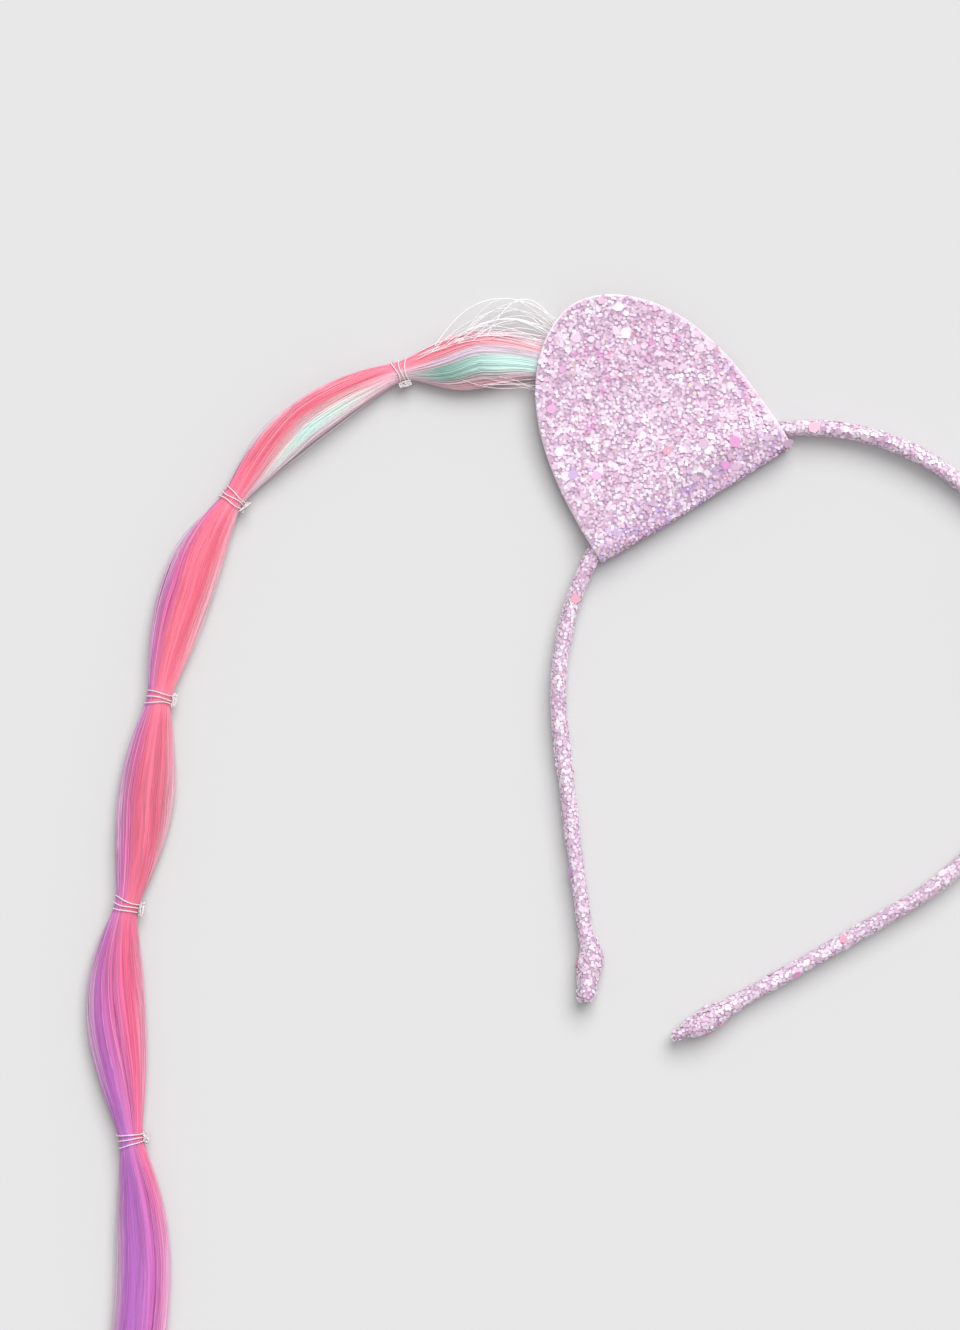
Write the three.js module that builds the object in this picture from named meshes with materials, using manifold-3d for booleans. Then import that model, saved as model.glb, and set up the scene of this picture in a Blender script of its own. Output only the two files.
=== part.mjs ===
// A child's glitter headband with two folded fabric ears and a long false-hair lock in four colours.
// Sizes are in millimetres and angles in degrees. The headband lies flat, +Z is up from the table,
// and +Y runs from its open ends to its crown. The hair starts behind the left ear and lies in a curve.

import * as THREE from 'three';
import { mergeVertices } from 'three/addons/utils/BufferGeometryUtils.js';
import Module from 'manifold-3d';

// Band: one springy hoop wrapped in fabric
const bandLength = 392.8;
const bandThickness = 4.3;
const bandWidth = 6.0;
const bandSides = 12;
const bandStep = 5.5;
const coreThickness = 1.8;
const coreWidth = 4.6;
const coreEndGap = 4.0;

// Half of the band's centreline from the crown to an open end, as arcs
const bandArcs = [
  { share: 0.177, turn: -34.8 },
  { share: 0.322, turn: -61.5 },
  { share: 0.172, turn: -26.6 },
  { share: 0.329, turn: -1.8 },
];

// Fabric and the running gap between pieces that touch
const fabricThickness = 1.0;
const fitGap = 0.3;

// Wrapped tips of the band
const leftCapLength = 14.5;
const leftCapWidth = 7.0;
const rightCapLength = 17.0;
const rightCapWidth = 6.8;
const capHeight = 8.6;
const coreTaper = 4.0;

// Outlines of the two tips from their mouth to their end, as shares of each tip's own sizes
const leftCapOutline = [
  { at: 0, width: 0.93, height: 0.95 },
  { at: 0.1, width: 0.99, height: 1 },
  { at: 0.5, width: 1, height: 1 },
  { at: 0.86, width: 0.94, height: 0.97 },
  { at: 1, width: 0.76, height: 0.8 },
];
const rightCapOutline = [
  { at: 0, width: 0.93, height: 0.95 },
  { at: 0.2, width: 0.98, height: 1 },
  { at: 0.45, width: 1, height: 1 },
  { at: 0.76, width: 0.66, height: 0.86 },
  { at: 1, width: 0.36, height: 0.56 },
];

// Ear: one leaf of fabric folded round the band and closed above it
const earWidth = 53.2;
const earHeight = 56.6;
const earPosition = 60.3;
const earTilt = 1.5;
const earFoldBow = 0.2;
const earTipLift = 3.6;
const earSidePower = 1.8;
const earTipPower = 2.88;
const earColumns = 12;
const ridgeTop = 1.2;
const ridgeTipFall = 6.8;
const ridgeFoldFall = 11.0;
const foldRoundPower = 2.4;

// Rows of the ear between its fold and the band, and between the ridge and the tip, as shares
const foldRows = [0, 0.06, 0.2, 0.42, 0.7, 0.9];
const ridgeRows = [0, 0.15, 0.32, 0.5, 0.7, 1];
const leafRows = [0.16, 0.32, 0.48, 0.62, 0.74, 0.84, 0.91, 0.96, 0.985, 0.998];

// Hair: a flattened root behind the left ear, then a loose bundle tied in places
const hairLength = 348.0;
const hairWidth = 13.8;
const hairHeight = 6.6;
const hairStep = 6.6;
const hairRootHeight = 21.6;
const hairRootAside = -0.3;
const lockArcPoints = 6;
const lockGap = 0.34;

// Centreline of the hair beyond its clasp, as arcs that start along the ear's axis
const hairArcs = [
  { share: 0.061, turn: 48.2 },
  { share: 0.126, turn: 29.2 },
  { share: 0.104, turn: 27 },
  { share: 0.126, turn: 29.3 },
  { share: 0.111, turn: 9 },
  { share: 0.091, turn: -7.6 },
  { share: 0.097, turn: 19.7 },
  { share: 0.085, turn: 3.1 },
  { share: 0.111, turn: -16.2 },
  { share: 0.088, turn: 4 },
];

// Sections of the bundle. at is a share of the hair's length, width and height are shares of its
// largest section, and base is how far it hangs above the table, as a share of its height. The colours
// give the angle where each lock begins, from the outer side of the curve over the top. It ends where
// the next one begins.
const hairSections = [
  { at: 0, width: 0.8, height: 0.23, base: 0.21, pink: 0, mint: 75, pale: 140, purple: 210 },
  { at: 0.046, width: 0.72, height: 0.45, base: 0.08, pink: 0, mint: 80, pale: 145, purple: 205 },
  { at: 0.09, width: 0.58, height: 0.74, base: 0.03, pink: 0, mint: 80, pale: 150, purple: 205 },
  { at: 0.135, width: 0.84, height: 0.8, base: 0, pink: 0, mint: 82, pale: 152, purple: 205 },
  { at: 0.187, width: 0.35, height: 0.71, tied: true, pink: -5, mint: 98, pale: 160, purple: 215 },
  { at: 0.262, width: 0.53, height: 0.86, base: 0, pink: -10, mint: 102, pale: 160, purple: 220 },
  { at: 0.332, width: 0.4, height: 0.76, tied: true, pink: 20, mint: 140, pale: 185, purple: 275 },
  { at: 0.402, width: 0.86, height: 0.96, base: 0, pink: 62, mint: 150, pale: 200, purple: 325 },
  { at: 0.479, width: 0.43, height: 0.83, tied: true, pink: 55, mint: 142, pale: 196, purple: 328 },
  { at: 0.548, width: 0.92, height: 1, base: 0, pink: 50, mint: 135, pale: 200, purple: 330 },
  { at: 0.623, width: 0.42, height: 0.82, tied: true, pink: 70, mint: 165, pale: 220, purple: 322 },
  { at: 0.698, width: 1, height: 1, base: 0, pink: 90, mint: 190, pale: 250, purple: 318 },
  { at: 0.784, width: 0.42, height: 0.83, tied: true, pink: 112, mint: 196, pale: 262, purple: 335 },
  { at: 0.87, width: 0.9, height: 0.92, base: 0, pink: 125, mint: 200, pale: 270, purple: 340 },
  { at: 0.94, width: 0.92, height: 0.86, base: 0, pink: 125, mint: 200, pale: 270, purple: 340 },
  { at: 1, width: 0.5, height: 0.5, base: 0, pink: 125, mint: 200, pale: 270, purple: 340 },
];
const lockOrder = ['pink', 'mint', 'pale', 'purple'];

// Elastics: three turns of thin clear band that meet in a knot on the inner side of the curve
const elasticThickness = 0.9;
const elasticSpread = 3.2;
const elasticTurns = 3;
const elasticSides = 4;
const elasticSegments = 10;
const knotRadius = 1.25;
const knotAngle = 165;

// Clasp: a shallow tray glued under the left ear that holds the root of the hair
const claspLength = 5.6;
const claspWall = 0.8;
const claspOverlap = 4.0;

const half = bandLength / 2;
const sleeveHalfHeight = bandWidth / 2 + fitGap + fabricThickness;
const tableLevel = 0;
const middleLevel = tableLevel + sleeveHalfHeight;

const wasm = await Module();
wasm.setup();

const materials = {
  glitter: new THREE.MeshStandardMaterial({ color: 0xd9b3dc, roughness: 0.55, metalness: 0.1 }),
  pink: new THREE.MeshStandardMaterial({ color: 0xff6f86, roughness: 0.45, metalness: 0 }),
  mint: new THREE.MeshStandardMaterial({ color: 0xaeeede, roughness: 0.4, metalness: 0 }),
  pale: new THREE.MeshStandardMaterial({ color: 0xf4e4e6, roughness: 0.45, metalness: 0 }),
  purple: new THREE.MeshStandardMaterial({ color: 0xb583dc, roughness: 0.45, metalness: 0 }),
  elastic: new THREE.MeshStandardMaterial({ color: 0xf3ece9, roughness: 0.2, metalness: 0 }),
  clasp: new THREE.MeshStandardMaterial({ color: 0xe9d7ea, roughness: 0.8, metalness: 0 }),
};

function radians(degrees) {
  return (degrees * Math.PI) / 180;
}

function mix(from, to, share) {
  return from + (to - from) * share;
}

function smooth(share) {
  const clamped = Math.min(1, Math.max(0, share));
  return clamped * clamped * (3 - 2 * clamped);
}

// Half thickness of a rounded edge: 0 at the edge itself and 1 from one radius inwards
function roundedEdge(share, power) {
  const outside = 1 - Math.min(1, Math.max(0, share));
  return (1 - outside ** power) ** (1 / power);
}

// Point and heading on a chain of arcs, straight on beyond its last arc
function alongArcs(start, arcs, length, distance) {
  let { x, y, heading } = start;
  let left = distance;
  for (const arc of arcs) {
    const arcLength = arc.share * length;
    const step = Math.min(left, arcLength);
    const turn = (arc.turn * step) / arcLength;
    const halfTurn = radians(turn) / 2;
    const chord = Math.abs(halfTurn) < 1e-9 ? step : (step * Math.sin(halfTurn)) / halfTurn;
    const direction = radians(heading) + halfTurn;
    x += chord * Math.cos(direction);
    y += chord * Math.sin(direction);
    heading += turn;
    left -= step;
    if (left <= 0) {
      break;
    }
  }
  x += left * Math.cos(radians(heading));
  y += left * Math.sin(radians(heading));
  return { x, y, heading };
}

// Station on the band, counted from the crown: negative to the left ear, positive to the right one
function bandStation(distance) {
  const side = distance < 0 ? -1 : 1;
  const point = alongArcs({ x: 0, y: 0, heading: 0 }, bandArcs, half, Math.abs(distance));
  const heading = radians(point.heading);
  return {
    centre: new THREE.Vector3(side * point.x, point.y, middleLevel),
    outward: new THREE.Vector3(-side * Math.sin(heading), Math.cos(heading), 0),
  };
}

// Faces that fill a section drawn anticlockwise
function filled(outline) {
  return THREE.ShapeUtils.triangulateShape(outline, []);
}

// Faces that join the top and the underside of a sheet's section
function zipped(columns) {
  const last = 2 * columns - 1;
  const faces = [];
  for (let index = 0; index + 1 < columns; index += 1) {
    faces.push([index, index + 1, last - index - 1], [index, last - index - 1, last - index]);
  }
  return faces;
}

// Closed body through rings of the same number of points, with the faces given at both ends
function loft(rings, startFaces, endFaces) {
  const count = rings[0].length;
  const positions = [];
  const indices = [];
  for (const ring of rings) {
    for (const point of ring) {
      positions.push(point.x, point.y, point.z);
    }
  }
  for (let row = 0; row + 1 < rings.length; row += 1) {
    for (let index = 0; index < count; index += 1) {
      const a = row * count + index;
      const b = row * count + ((index + 1) % count);
      indices.push(a, b, b + count, a, b + count, a + count);
    }
  }
  const last = (rings.length - 1) * count;
  for (const [p, q, r] of startFaces) {
    indices.push(r, q, p);
  }
  for (const [p, q, r] of endFaces) {
    indices.push(last + p, last + q, last + r);
  }
  return facingOut(positions, indices);
}

// Geometry from vertices and triangles, turned inside out where its volume comes out negative
function facingOut(positions, indices) {
  let volume = 0;
  const corner = (index) => new THREE.Vector3().fromArray(positions, index * 3);
  for (let index = 0; index < indices.length; index += 3) {
    const [a, b, c] = [corner(indices[index]), corner(indices[index + 1]), corner(indices[index + 2])];
    volume += a.dot(b.cross(c));
  }
  const faces = volume < 0 ? indices.slice().reverse() : indices;
  const geometry = new THREE.BufferGeometry();
  geometry.setAttribute('position', new THREE.Float32BufferAttribute(positions, 3));
  geometry.setIndex(faces);
  geometry.computeVertexNormals();
  return geometry;
}

function toSolid(geometry) {
  const vertProperties = new Float32Array(geometry.attributes.position.array);
  const triVerts = new Uint32Array(geometry.index.array);
  return new wasm.Manifold(new wasm.Mesh({ numProp: 3, vertProperties, triVerts }));
}

function fromSolid(solid) {
  const mesh = solid.getMesh();
  return facingOut(Array.from(mesh.vertProperties), Array.from(mesh.triVerts));
}

// Many-sided oval with flat facets on its four axes, as far as the half sizes given
function ovalSection(halfThickness, halfWidth, sides) {
  const reach = Math.cos(Math.PI / sides);
  const section = [];
  for (let index = 0; index < sides; index += 1) {
    const angle = ((index + 0.5) * 2 * Math.PI) / sides;
    const out = (halfThickness * Math.cos(angle)) / reach;
    const up = (halfWidth * Math.sin(angle)) / reach;
    section.push(new THREE.Vector2(out, up));
  }
  return section;
}

// Section set across the band at a station: its first coordinate points away from the head
function acrossBand(distance, section) {
  const { centre, outward } = bandStation(distance);
  return section.map(({ x, y }) => {
    const point = centre.clone().addScaledVector(outward, x);
    point.z += y;
    return point;
  });
}

// Where the wrapped band begins to thin down to its bare core, just inside the tip
function coreStart(side) {
  const capLength = side < 0 ? leftCapLength : rightCapLength;
  return half - capLength + coreTaper / 2;
}

function bandSection(distance, extra) {
  const thinned = (Math.abs(distance) - coreStart(distance)) / coreTaper;
  const share = Math.min(1, Math.max(0, thinned));
  const thickness = mix(bandThickness, coreThickness, share) / 2 + extra;
  const width = mix(bandWidth, coreWidth, share) / 2 + extra;
  return ovalSection(thickness, width, bandSides);
}

// An odd number of even steps between the tips leaves a flat stretch of band at the crown
function makeBand() {
  const reach = half - coreEndGap;
  const even = half - Math.max(leftCapLength, rightCapLength);
  const steps = 2 * Math.round(even / bandStep) + 1;
  const distances = [-reach, -coreStart(-1) - coreTaper, -coreStart(-1)];
  for (let index = 0; index <= steps; index += 1) {
    distances.push(mix(-even, even, index / steps));
  }
  distances.push(coreStart(1), coreStart(1) + coreTaper, reach);
  const rings = distances.map((distance) => acrossBand(distance, bandSection(distance, 0)));
  return loft(rings, filled(bandSection(-reach, 0)), filled(bandSection(reach, 0)));
}

// Wrapped tip of the band: a tapering sleeve with a blind hollow for the band's core
function makeCap(side, capLength, capWidth, outline) {
  const mouth = half - capLength;
  const sections = outline.map((row) =>
    ovalSection((row.width * capWidth) / 2, (row.height * capHeight) / 2, bandSides));
  const rings = outline.map((row, index) =>
    acrossBand(side * (mouth + row.at * capLength), sections[index]));
  const body = loft(rings, filled(sections[0]), filled(sections[sections.length - 1]));

  const floor = half - coreEndGap + fitGap;
  const hollowStart = mouth - bandStep / 2;
  const hollowRings = [hollowStart, coreStart(side), coreStart(side) + coreTaper, floor]
    .map((distance) => acrossBand(side * distance, bandSection(side * distance, fitGap)));
  const mouthFaces = filled(bandSection(side * hollowStart, fitGap));
  const floorFaces = filled(bandSection(side * floor, fitGap));
  const hollow = loft(hollowRings, mouthFaces, floorFaces);
  return fromSolid(toSolid(body).subtract(toSolid(hollow)));
}

// Stretch of the band that runs through the left ear, with some to spare at both ends
const trackSteps = 240;
const trackReach = 0.8 * earWidth;
const trackDistances = [];
for (let index = 0; index <= trackSteps; index += 1) {
  trackDistances.push(-earPosition + mix(-trackReach, trackReach, index / trackSteps));
}

// The fold of the ear bows a little towards the inside of the headband
function foldAlong(across) {
  return -earFoldBow * Math.max(0, 1 - ((2 * across) / earWidth) ** 2);
}

// The left ear's own frame: across points to the crown's side and along from the fold to the tip.
// Its base line lies as close under the band as the fabric and its gap allow.
function earFrame() {
  const { centre, outward } = bandStation(-earPosition);
  const along = outward.clone().applyAxisAngle(new THREE.Vector3(0, 0, 1), -radians(earTilt));
  const across = new THREE.Vector3(along.y, -along.x, 0);
  let depth = 0;
  for (const distance of trackDistances) {
    const station = bandStation(distance);
    const offset = station.centre.sub(centre);
    const aside = offset.dot(across);
    const room = (bandThickness / 2 + fitGap) / station.outward.dot(along) + fabricThickness;
    if (Math.abs(aside) <= earWidth / 2) {
      depth = Math.max(depth, room - offset.dot(along) + foldAlong(aside));
    }
  }
  const origin = centre.clone().addScaledVector(along, -depth);
  return { origin, along, across };
}

const leftEar = earFrame();

function earPoint(across, along, z) {
  const point = leftEar.origin.clone();
  point.addScaledVector(leftEar.across, across);
  point.addScaledVector(leftEar.along, along);
  point.z = z;
  return point;
}

// Height of the band's centreline above the ear's base line, for a place across the ear
const bandTrack = trackDistances.map((distance) => {
  const offset = bandStation(distance).centre.sub(leftEar.origin);
  return { across: offset.dot(leftEar.across), along: offset.dot(leftEar.along) };
});

function bandAlong(across) {
  let index = 1;
  while (index < bandTrack.length - 1 && bandTrack[index].across < across) {
    index += 1;
  }
  const before = bandTrack[index - 1];
  const after = bandTrack[index];
  const share = (across - before.across) / (after.across - before.across);
  return mix(before.along, after.along, share);
}

// Slope of the band's centreline there, which turns a height into a distance from the band
function bandSlopeCosine(across) {
  const reach = 0.5;
  const slope = (bandAlong(across + reach) - bandAlong(across - reach)) / (2 * reach);
  return 1 / Math.hypot(1, slope);
}

function earHalfWidth(along) {
  const share = Math.min(1, Math.max(0, along / earHeight));
  return (earWidth / 2) * (1 - share ** earTipPower) ** (1 / earSidePower);
}

// Half height of the hollow that the band leaves between the two layers
function hollowHalfHeight(across, along) {
  const distance = (along - bandAlong(across)) * bandSlopeCosine(across);
  const top = bandWidth / 2 + fitGap;
  if (distance >= 0) {
    return top * (1 - smooth((distance - ridgeTop) / ridgeTipFall));
  }
  const slope = Math.min(1, Math.max(0, (-distance - ridgeTop) / ridgeFoldFall));
  return top * (1 - slope);
}

function foldRadius() {
  return bandThickness / 2 + fitGap + fabricThickness;
}

function outerHalfHeight(across, along) {
  const aboveFold = along - foldAlong(across);
  const rounded = sleeveHalfHeight * roundedEdge(aboveFold / foldRadius(), foldRoundPower);
  return Math.min(hollowHalfHeight(across, along) + fabricThickness, rounded);
}

function innerHalfHeight(across, along) {
  const aboveFold = along - foldAlong(across) - fabricThickness;
  const radius = foldRadius() - fabricThickness;
  const rounded = (sleeveHalfHeight - fabricThickness) * roundedEdge(aboveFold / radius, foldRoundPower);
  return Math.min(hollowHalfHeight(across, along), rounded);
}

function earMiddle(across, along) {
  const start = bandAlong(across) + ridgeTop + ridgeTipFall;
  const share = Math.max(0, (along - start) / (earHeight - start));
  return middleLevel + earTipLift * share ** 1.5;
}

// Heights of one column of the ear, from its fold over the ridge to its tip
function columnHeights(across) {
  const fold = foldAlong(across);
  const band = bandAlong(across);
  const leafStart = band + ridgeTop + ridgeTipFall;
  const heights = foldRows.map((share) => mix(fold, band - ridgeTop, share));
  heights.push(...ridgeRows.map((share) => mix(band - ridgeTop / 3, leafStart, share)));
  heights.push(...leafRows.map((share) => mix(leafStart, earHeight, share)));
  return heights;
}

// Place of one grid point: its column keeps the same share of the ear's width at every height
function earGridPoint(row, column) {
  const share = (2 * column) / earColumns - 1;
  let across = (share * earWidth) / 2;
  let along = 0;
  for (let turn = 0; turn < 6; turn += 1) {
    along = columnHeights(across)[row];
    across = share * earHalfWidth(Math.max(0, along));
  }
  return { across, along };
}

// Ring round one row of a sheet with a top and an underside
function sheetRing(row, halfHeight) {
  const top = row.map(({ across, along }) =>
    earPoint(across, along, earMiddle(across, along) + halfHeight(across, along)));
  const underside = row.map(({ across, along }) =>
    earPoint(across, along, earMiddle(across, along) - halfHeight(across, along)));
  return top.concat(underside.reverse());
}

function makeLeftEar() {
  const rowCount = foldRows.length + ridgeRows.length + leafRows.length;
  const thinnest = fabricThickness / 4;
  const rows = [];
  for (let row = 0; row < rowCount; row += 1) {
    const points = [];
    for (let column = 0; column <= earColumns; column += 1) {
      points.push(earGridPoint(row, column));
    }
    rows.push(points);
  }
  const outer = (across, along) => Math.max(thinnest, outerHalfHeight(across, along));
  const rings = rows.map((row) => sheetRing(row, outer));
  const leafEnds = zipped(earColumns + 1);
  const leaf = loft(rings, leafEnds, leafEnds);

  const hollowRows = [];
  const hollowReach = earWidth / 2 + bandThickness;
  const hollowShares = [0, 0.1, 0.32, 0.6, 0.85];
  const tipShares = ridgeRows.slice(0, -1).concat(0.88);
  for (let row = 0; row < hollowShares.length + tipShares.length; row += 1) {
    const points = [];
    for (let column = -1; column <= earColumns + 1; column += 1) {
      const even = ((2 * column) / earColumns - 1) * (earWidth / 2);
      const across = Math.max(-hollowReach, Math.min(hollowReach, even));
      const fold = foldAlong(across) + fabricThickness;
      const band = bandAlong(across);
      const end = band + ridgeTop + ridgeTipFall;
      const tipShare = tipShares[row - hollowShares.length];
      const along = row < hollowShares.length
        ? mix(fold, band - ridgeTop, hollowShares[row])
        : mix(band - ridgeTop / 3, end, tipShare);
      points.push({ across, along });
    }
    hollowRows.push(points);
  }
  const inner = (across, along) => Math.max(thinnest / 5, innerHalfHeight(across, along));
  const hollowRings = hollowRows.map((row) => sheetRing(row, inner));
  const hollowEnds = zipped(hollowRows[0].length);
  const hollow = loft(hollowRings, hollowEnds, hollowEnds);
  return fromSolid(toSolid(leaf).subtract(toSolid(hollow)));
}

// The same geometry on the other side of the headband's middle plane
function mirrored(geometry) {
  const positions = Array.from(geometry.attributes.position.array);
  for (let index = 0; index < positions.length; index += 3) {
    positions[index] = -positions[index];
  }
  return facingOut(positions, Array.from(geometry.index.array));
}

// Station on the hair: its centreline in plan, and the direction to the outer side of its curve.
// It lies straight in its clasp and follows the arcs from there.
function hairStation(distance) {
  const held = Math.min(distance, claspOverlap);
  const root = earPoint(hairRootAside, hairRootHeight + held, tableLevel);
  const heading = THREE.MathUtils.radToDeg(Math.atan2(leftEar.along.y, leftEar.along.x));
  const start = { x: root.x, y: root.y, heading };
  const point = alongArcs(start, hairArcs, hairLength - claspOverlap, distance - held);
  const direction = radians(point.heading);
  return {
    centre: new THREE.Vector3(point.x, point.y, tableLevel),
    forward: new THREE.Vector3(Math.cos(direction), Math.sin(direction), 0),
    outer: new THREE.Vector3(Math.sin(direction), -Math.cos(direction), 0),
  };
}

// A bundle swells at once beside a tie and runs level in its middle
function bundleShare(from, to, share) {
  if (from.tied) {
    return Math.sin((share * Math.PI) / 2);
  }
  if (to.tied) {
    return 1 - Math.cos((share * Math.PI) / 2);
  }
  return smooth(share);
}

function sectionBase(row) {
  return row.tied ? elasticThickness + fitGap : row.base * hairHeight;
}

// How far the section of a row holds along the hair, under an elastic or in the clasp
function heldReach(row) {
  if (row.tied) {
    return elasticSpread / 2;
  }
  return row.at === 0 ? claspOverlap : 0;
}

// Size, height above the table and lock angles of the bundle at a distance from its root
function hairSection(distance) {
  let index = 1;
  while (index < hairSections.length - 1 && hairSections[index].at * hairLength < distance) {
    index += 1;
  }
  const from = hairSections[index - 1];
  const to = hairSections[index];
  const start = from.at * hairLength + heldReach(from);
  const end = to.at * hairLength - heldReach(to);
  const share = Math.min(1, Math.max(0, (distance - start) / (end - start)));
  const eased = bundleShare(from, to, share);
  const section = {
    halfWidth: (mix(from.width, to.width, eased) * hairWidth) / 2,
    halfHeight: (mix(from.height, to.height, eased) * hairHeight) / 2,
    base: mix(sectionBase(from), sectionBase(to), eased),
    starts: lockOrder.map((name) => mix(from[name], to[name], share)),
  };
  section.level = tableLevel + section.base + section.halfHeight;
  return section;
}

// Distances at which the bundle's sections are drawn: even steps between the rows of the table
function hairDistances() {
  const distances = [0];
  for (let index = 1; index < hairSections.length; index += 1) {
    const start = hairSections[index - 1].at * hairLength + heldReach(hairSections[index - 1]);
    const end = hairSections[index].at * hairLength - heldReach(hairSections[index]);
    const steps = Math.max(2, Math.round((end - start) / hairStep));
    for (let step = start > distances[distances.length - 1] ? 0 : 1; step <= steps; step += 1) {
      distances.push(mix(start, end, step / steps));
    }
  }
  return distances;
}

// Outline of one lock in the bundle's section: a slice of the oval, clear of its neighbours
function lockOutline(section, lock) {
  const { halfWidth, halfHeight, starts } = section;
  const begin = starts[lock];
  const nextStart = starts[(lock + 1) % lockOrder.length];
  const sweep = (((nextStart - begin) % 360) + 360) % 360;
  const halfGap = lockGap / 2;
  const direction = (degrees) => {
    const angle = radians(degrees);
    return new THREE.Vector2(halfWidth * Math.cos(angle), halfHeight * Math.sin(angle));
  };
  const firstEdge = direction(begin);
  const lastEdge = direction(begin + sweep);
  const inset = new THREE.Vector2(-firstEdge.y, firstEdge.x).setLength(halfGap);
  const lastInset = new THREE.Vector2(lastEdge.y, -lastEdge.x).setLength(halfGap);
  const cross = firstEdge.x * lastEdge.y - firstEdge.y * lastEdge.x;
  const gapTurn = (edge) => halfGap / edge.length();
  const between = lastInset.clone().sub(inset);
  const along = (between.x * lastEdge.y - between.y * lastEdge.x) / cross;
  const outline = [firstEdge.clone().multiplyScalar(along).add(inset)];
  const firstTurn = outlineTurn(direction, begin, 1, gapTurn(firstEdge));
  const lastTurn = outlineTurn(direction, begin + sweep, -1, gapTurn(lastEdge));
  for (let index = 0; index < lockArcPoints; index += 1) {
    outline.push(direction(mix(begin + firstTurn, begin + sweep - lastTurn, index / (lockArcPoints - 1))));
  }
  return outline;
}

// How far to turn along the oval before the wanted gap to an edge is reached
function outlineTurn(direction, degrees, side, sine) {
  const edge = direction(degrees);
  const wanted = sine * edge.length();
  let turn = 0;
  while (turn < 60) {
    turn += 0.5;
    const point = direction(degrees + side * turn);
    const away = Math.abs(edge.x * point.y - edge.y * point.x) / edge.length();
    if (away >= wanted) {
      return turn;
    }
  }
  return turn;
}

function makeLock(lock) {
  const outlines = [];
  const rings = hairDistances().map((distance) => {
    const section = hairSection(distance);
    const { centre, outer } = hairStation(distance);
    const outline = lockOutline(section, lock);
    outlines.push(outline);
    return outline.map(({ x, y }) => {
      const point = centre.clone().addScaledVector(outer, x);
      point.z = section.level + y;
      return point;
    });
  });
  return loft(rings, filled(outlines[0]), filled(outlines[outlines.length - 1]));
}

// One turn of an elastic. It leans along the hair by the spread given, away from the knot.
function makeElasticTurn(distance, spread) {
  const section = hairSection(distance);
  const { centre, outer, forward } = hairStation(distance);
  const clear = fitGap + elasticThickness / 2;
  const wire = ovalSection(elasticThickness / 2, elasticThickness / 2, elasticSides);
  const rings = [];
  for (let index = 0; index < elasticSegments; index += 1) {
    const angle = radians(knotAngle) + (index * 2 * Math.PI) / elasticSegments;
    const lean = spread * (0.5 - 0.5 * Math.cos(angle - radians(knotAngle)));
    rings.push(wire.map(({ x, y }) => {
      const point = centre.clone().addScaledVector(forward, lean + y);
      point.addScaledVector(outer, (section.halfWidth + clear + x) * Math.cos(angle));
      point.z = section.level + (section.halfHeight + clear + x) * Math.sin(angle);
      return point;
    }));
  }
  return closedLoop(rings);
}

// Closed body through rings that end where they begin
function closedLoop(rings) {
  const count = rings[0].length;
  const positions = [];
  const indices = [];
  for (const ring of rings) {
    for (const point of ring) {
      positions.push(point.x, point.y, point.z);
    }
  }
  for (let row = 0; row < rings.length; row += 1) {
    const next = ((row + 1) % rings.length) * count;
    for (let index = 0; index < count; index += 1) {
      const turn = (index + 1) % count;
      indices.push(row * count + index, row * count + turn, next + turn);
      indices.push(row * count + index, next + turn, next + index);
    }
  }
  return facingOut(positions, indices);
}

function makeElastic(distance) {
  const section = hairSection(distance);
  const { centre, outer } = hairStation(distance);
  const knotOut = fitGap + knotRadius;
  const ball = new THREE.IcosahedronGeometry(knotRadius, 1);
  const knotCentre = centre.clone();
  knotCentre.addScaledVector(outer, (section.halfWidth + knotOut) * Math.cos(radians(knotAngle)));
  knotCentre.z = section.level + (section.halfHeight + knotOut) * Math.sin(radians(knotAngle));
  ball.translate(knotCentre.x, knotCentre.y, knotCentre.z);
  ball.deleteAttribute('normal');
  ball.deleteAttribute('uv');
  let solid = toSolid(mergeVertices(ball));
  for (let turn = 0; turn < elasticTurns; turn += 1) {
    const spread = elasticSpread * (turn / (elasticTurns - 1) - 0.5);
    solid = solid.add(toSolid(makeElasticTurn(distance, spread)));
  }
  return fromSolid(solid);
}

// Tray under the ear: its floor and two rims hold the root, its mouths are open along the hair
function makeClasp() {
  const root = hairSection(0);
  const inside = root.halfWidth + fitGap;
  const outside = inside + claspWall;
  const top = middleLevel - fabricThickness - fitGap;
  const floor = root.level - root.halfHeight - fitGap;
  const profile = new THREE.Shape();
  profile.moveTo(-outside, floor - claspWall);
  profile.lineTo(outside, floor - claspWall);
  profile.lineTo(outside, top);
  profile.lineTo(inside, top);
  profile.lineTo(inside, floor);
  profile.lineTo(-inside, floor);
  profile.lineTo(-inside, top);
  profile.lineTo(-outside, top);
  profile.closePath();
  const tray = new THREE.ExtrudeGeometry(profile, { depth: claspLength, bevelEnabled: false });
  const start = hairRootHeight - (claspLength - claspOverlap);
  const place = new THREE.Matrix4().makeBasis(
    leftEar.across.clone().negate(), new THREE.Vector3(0, 0, 1), leftEar.along);
  place.setPosition(earPoint(hairRootAside, start, tableLevel));
  tray.applyMatrix4(place);
  return tray;
}

const group = new THREE.Group();
group.name = 'glitter_ear_headband';

function addPiece(name, geometry, material) {
  const mesh = new THREE.Mesh(geometry, material.clone());
  mesh.name = name;
  group.add(mesh);
}

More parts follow.
